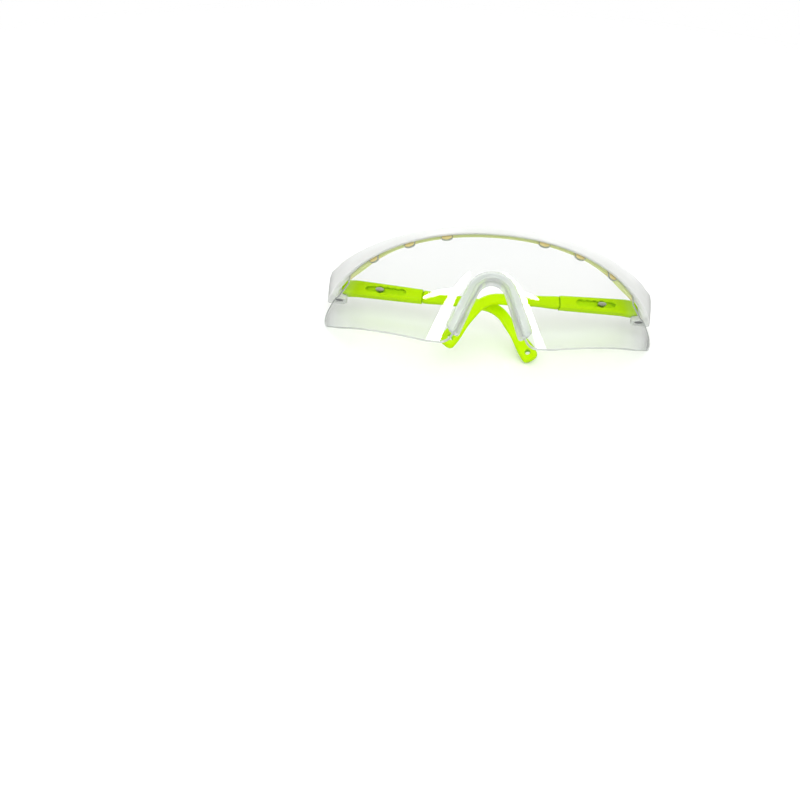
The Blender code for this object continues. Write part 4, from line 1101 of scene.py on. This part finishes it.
# %% [markdown]
# ## Floor, light and camera
# The camera stands where the photo's did, a little below the wearer's eye line. A pale floor keeps the
# shadow and fades into a surround that is white to the camera, for the high-key look of a catalogue
# picture. The lens would mirror all that, so to mirrored rays the surround is dark, except for a white
# card above the brow, and the floor and softboxes are hidden. Narrow bright windows are mirrored instead.

# %% Camera
CAMERA_PLACE = (-12.29, -501.23, -233.83)  # mm, as worn
CAMERA_SIDEWAYS = radians(2.248)  # turned towards -X
CAMERA_UP = radians(17.896)
CAMERA_ROLL = radians(5.15)
CAMERA_LENS, CAMERA_SENSOR = 62.6, 36  # mm
CAMERA_NEAR = 0.01  # m

ahead = Vector((-sin(CAMERA_SIDEWAYS) * cos(CAMERA_UP), cos(CAMERA_SIDEWAYS) * cos(CAMERA_UP),
                sin(CAMERA_UP)))
right = ahead.cross(Vector((0, 0, 1))).normalized()
above = right.cross(ahead)
turn = Matrix((right, above, -ahead)).transposed().to_4x4() @ Matrix.Rotation(CAMERA_ROLL, 4, "Z")
camera_data = bpy.data.cameras.new("camera")
camera_data.lens = CAMERA_LENS
camera_data.sensor_width = CAMERA_SENSOR
camera_data.clip_start = CAMERA_NEAR
camera = show("camera", camera_data)
camera.matrix_world = on_table @ Matrix.Translation(Vector(CAMERA_PLACE) * MM) @ turn
bpy.context.scene.camera = camera
bpy.context.scene.view_settings.view_transform = "Standard"
print("camera at", [round(v, 3) for v in camera.matrix_world.translation])

# %% Floor
FLOOR_SIZE = 2.0  # m
FLOOR_FADE = (0.3, 0.6)  # m from the middle
FLOOR_PATCH = 400  # mm
FLOOR_LIFT = 0.09  # added to what the camera sees, so that the floor is white
MIRRORED_DEPTH = 0.5  # mirror bounces above which the floor is hidden


def show_sheet(name, outline, surface):
    """One flat face."""
    mesh = bpy.data.meshes.new(name)
    mesh.from_pydata(outline, [], [range(len(outline))])
    mesh.materials.append(surface)
    return show(name, mesh)


floor_material, tree = new_material("pale_floor")
place, _, shade = patchy(tree, FLOOR_PATCH, "FCFCFC", "F9FAF9")
matt = add_node(tree, "ShaderNodeBsdfPrincipled", {
    "Base Color": shade, "Roughness": 0.9, "Specular IOR Level": 0.1})
path = add_node(tree, "ShaderNodeLightPath").outputs
in_view = add_node(tree, "ShaderNodeMath", {0: path["Is Camera Ray"], 1: path["Is Transmission Ray"]},
                   operation="MAXIMUM")
lift = add_node(tree, "ShaderNodeMath", {0: in_view, 1: FLOOR_LIFT}, operation="MULTIPLY")
lifted = add_node(tree, "ShaderNodeAddShader", {
    0: matt, 1: add_node(tree, "ShaderNodeEmission", {"Strength": lift})})
away = add_node(tree, "ShaderNodeVectorMath", {0: place}, operation="LENGTH")
fade = add_node(tree, "ShaderNodeMapRange", {
    "Value": away.outputs["Value"], "From Min": FLOOR_FADE[0], "From Max": FLOOR_FADE[1]},
    interpolation_type="SMOOTHSTEP")
mirrored = add_node(tree, "ShaderNodeMath", {0: path["Glossy Depth"], 1: MIRRORED_DEPTH},
                    operation="GREATER_THAN")
hidden = add_node(tree, "ShaderNodeMath", {0: fade, 1: mirrored}, operation="MAXIMUM")
mixed = add_node(tree, "ShaderNodeMixShader", {
    0: hidden, 1: lifted, 2: add_node(tree, "ShaderNodeBsdfTransparent")})
add_node(tree, "ShaderNodeOutputMaterial", {"Surface": mixed})
half = FLOOR_SIZE / 2
floor = show_sheet("floor", [(-half, -half, 0), (half, -half, 0), (half, half, 0), (-half, half, 0)],
                   floor_material)
print("floor", FLOOR_SIZE, "m")

# %% Surround
SURROUND_LIGHT = 0.58  # what lights the pieces
CARD_LIGHT, DARK_LIGHT = 1.6, 0.03  # what is mirrored: a card above the brow, and the rest
CARD_EDGE = (sin(radians(18.5)), sin(radians(22)))  # above the brow line
LOW_LIGHT = 0.2  # what is mirrored below the horizon
WHITE = 1.0  # what the camera sees

surround = bpy.data.worlds.new("bright_surround")
surround.use_nodes = True
tree = surround.node_tree
tree.nodes.clear()
direction = add_node(tree, "ShaderNodeTexCoord").outputs["Generated"]
above_brow = add_node(tree, "ShaderNodeVectorMath", {0: direction, 1: tipped @ Vector((0, 0, 1))},
                      operation="DOT_PRODUCT")
card = add_node(tree, "ShaderNodeMapRange", {
    "Value": above_brow.outputs["Value"], "From Min": CARD_EDGE[0], "From Max": CARD_EDGE[1],
    "To Min": DARK_LIGHT, "To Max": CARD_LIGHT}, interpolation_type="SMOOTHSTEP")
height = add_node(tree, "ShaderNodeSeparateXYZ", {0: direction}).outputs["Z"]
below = add_node(tree, "ShaderNodeMath", {0: height, 1: 0.0}, operation="LESS_THAN")
path = add_node(tree, "ShaderNodeLightPath").outputs
through = add_node(tree, "ShaderNodeMath", {0: path["Is Transmission Ray"], 1: path["Glossy Depth"]},
                   operation="GREATER_THAN")
clear_path = add_node(tree, "ShaderNodeMath", {0: path["Is Glossy Ray"], 1: path["Is Transmission Ray"]},
                      operation="MAXIMUM")
mirrored = add_node(tree, "ShaderNodeMix", {"Factor": below, 2: card, 3: LOW_LIGHT}, data_type="FLOAT")
strength = add_node(tree, "ShaderNodeMix", {"Factor": clear_path, 2: SURROUND_LIGHT, 3: mirrored},
                    data_type="FLOAT")
seen = add_node(tree, "ShaderNodeMath", {0: path["Is Camera Ray"], 1: through}, operation="MAXIMUM")
strength = add_node(tree, "ShaderNodeMix", {"Factor": seen, 2: strength, 3: WHITE}, data_type="FLOAT")
sky = add_node(tree, "ShaderNodeBackground", {"Color": colour("FFFFFF"), "Strength": strength})
add_node(tree, "ShaderNodeOutputWorld", {"Surface": sky})
bpy.context.scene.world = surround
print("surround", SURROUND_LIGHT)

# %% Lamps and windows
TOP_LIGHT, FRONT_LIGHT = 0.58, 2.5
WINDOW_PLACE = -600  # mm
WINDOW_LIGHT = 20.0
WINDOWS = {  # outlines in mm on an upright plane in front, as worn
    "left_window": [(-161, 145), (-225, 144), (-280, 142), (-321, 140), (-445, 134), (-576, 128),
                    (-397, 98), (-325, 117), (-250, 131), (-195, 134), (-154, 142)],
    "left_branch": [(-617, 193), (-530, 178), (-381, 155), (-280, 142), (-306, 139), (-334, 143),
                    (-478, 165), (-601, 187)],
    "right_window": [(83, 141), (160, 137), (221, 134), (255, 128), (358, 118), (449, 108), (559, 128),
                     (421, 128), (305, 135), (262, 139), (183, 141), (92, 142)],
    "right_branch": [(252, 139), (311, 146), (386, 154), (398, 154), (322, 143), (266, 137)]}


def area_lamp(name, place, aim, size, radiance):
    """Rectangular lamp at a place in mm, aimed at a point in mm, with an even radiance. Never mirrored."""
    lamp = bpy.data.lights.new(name, "AREA")
    lamp.shape = "RECTANGLE"
    lamp.size, lamp.size_y = size[0] * MM, size[1] * MM
    lamp.energy = radiance * pi * lamp.size * lamp.size_y
    made = show(name, lamp)
    place, aim = Vector(place) * MM, Vector(aim) * MM
    turn = (aim - place).to_track_quat("-Z", "Y").to_matrix().to_4x4()
    made.matrix_world = Matrix.Translation(place) @ turn
    made.visible_glossy = made.visible_transmission = False


area_lamp("top_softbox", (0, 200, 2400), (0, 200, 0), (3600, 3600), TOP_LIGHT)
area_lamp("front_softbox", (0, -1100, 1300), (0, 0, 20), (1400, 1000), FRONT_LIGHT)
window_glow, tree = new_material("window_glow")
add_node(tree, "ShaderNodeOutputMaterial", {
    "Surface": add_node(tree, "ShaderNodeEmission", {"Strength": WINDOW_LIGHT})})
for name, outline in WINDOWS.items():
    window = show_sheet(name, [(x * MM, WINDOW_PLACE * MM, z * MM) for x, z in outline], window_glow)
    window.data.transform(on_table)
    window.visible_diffuse = window.visible_shadow = False
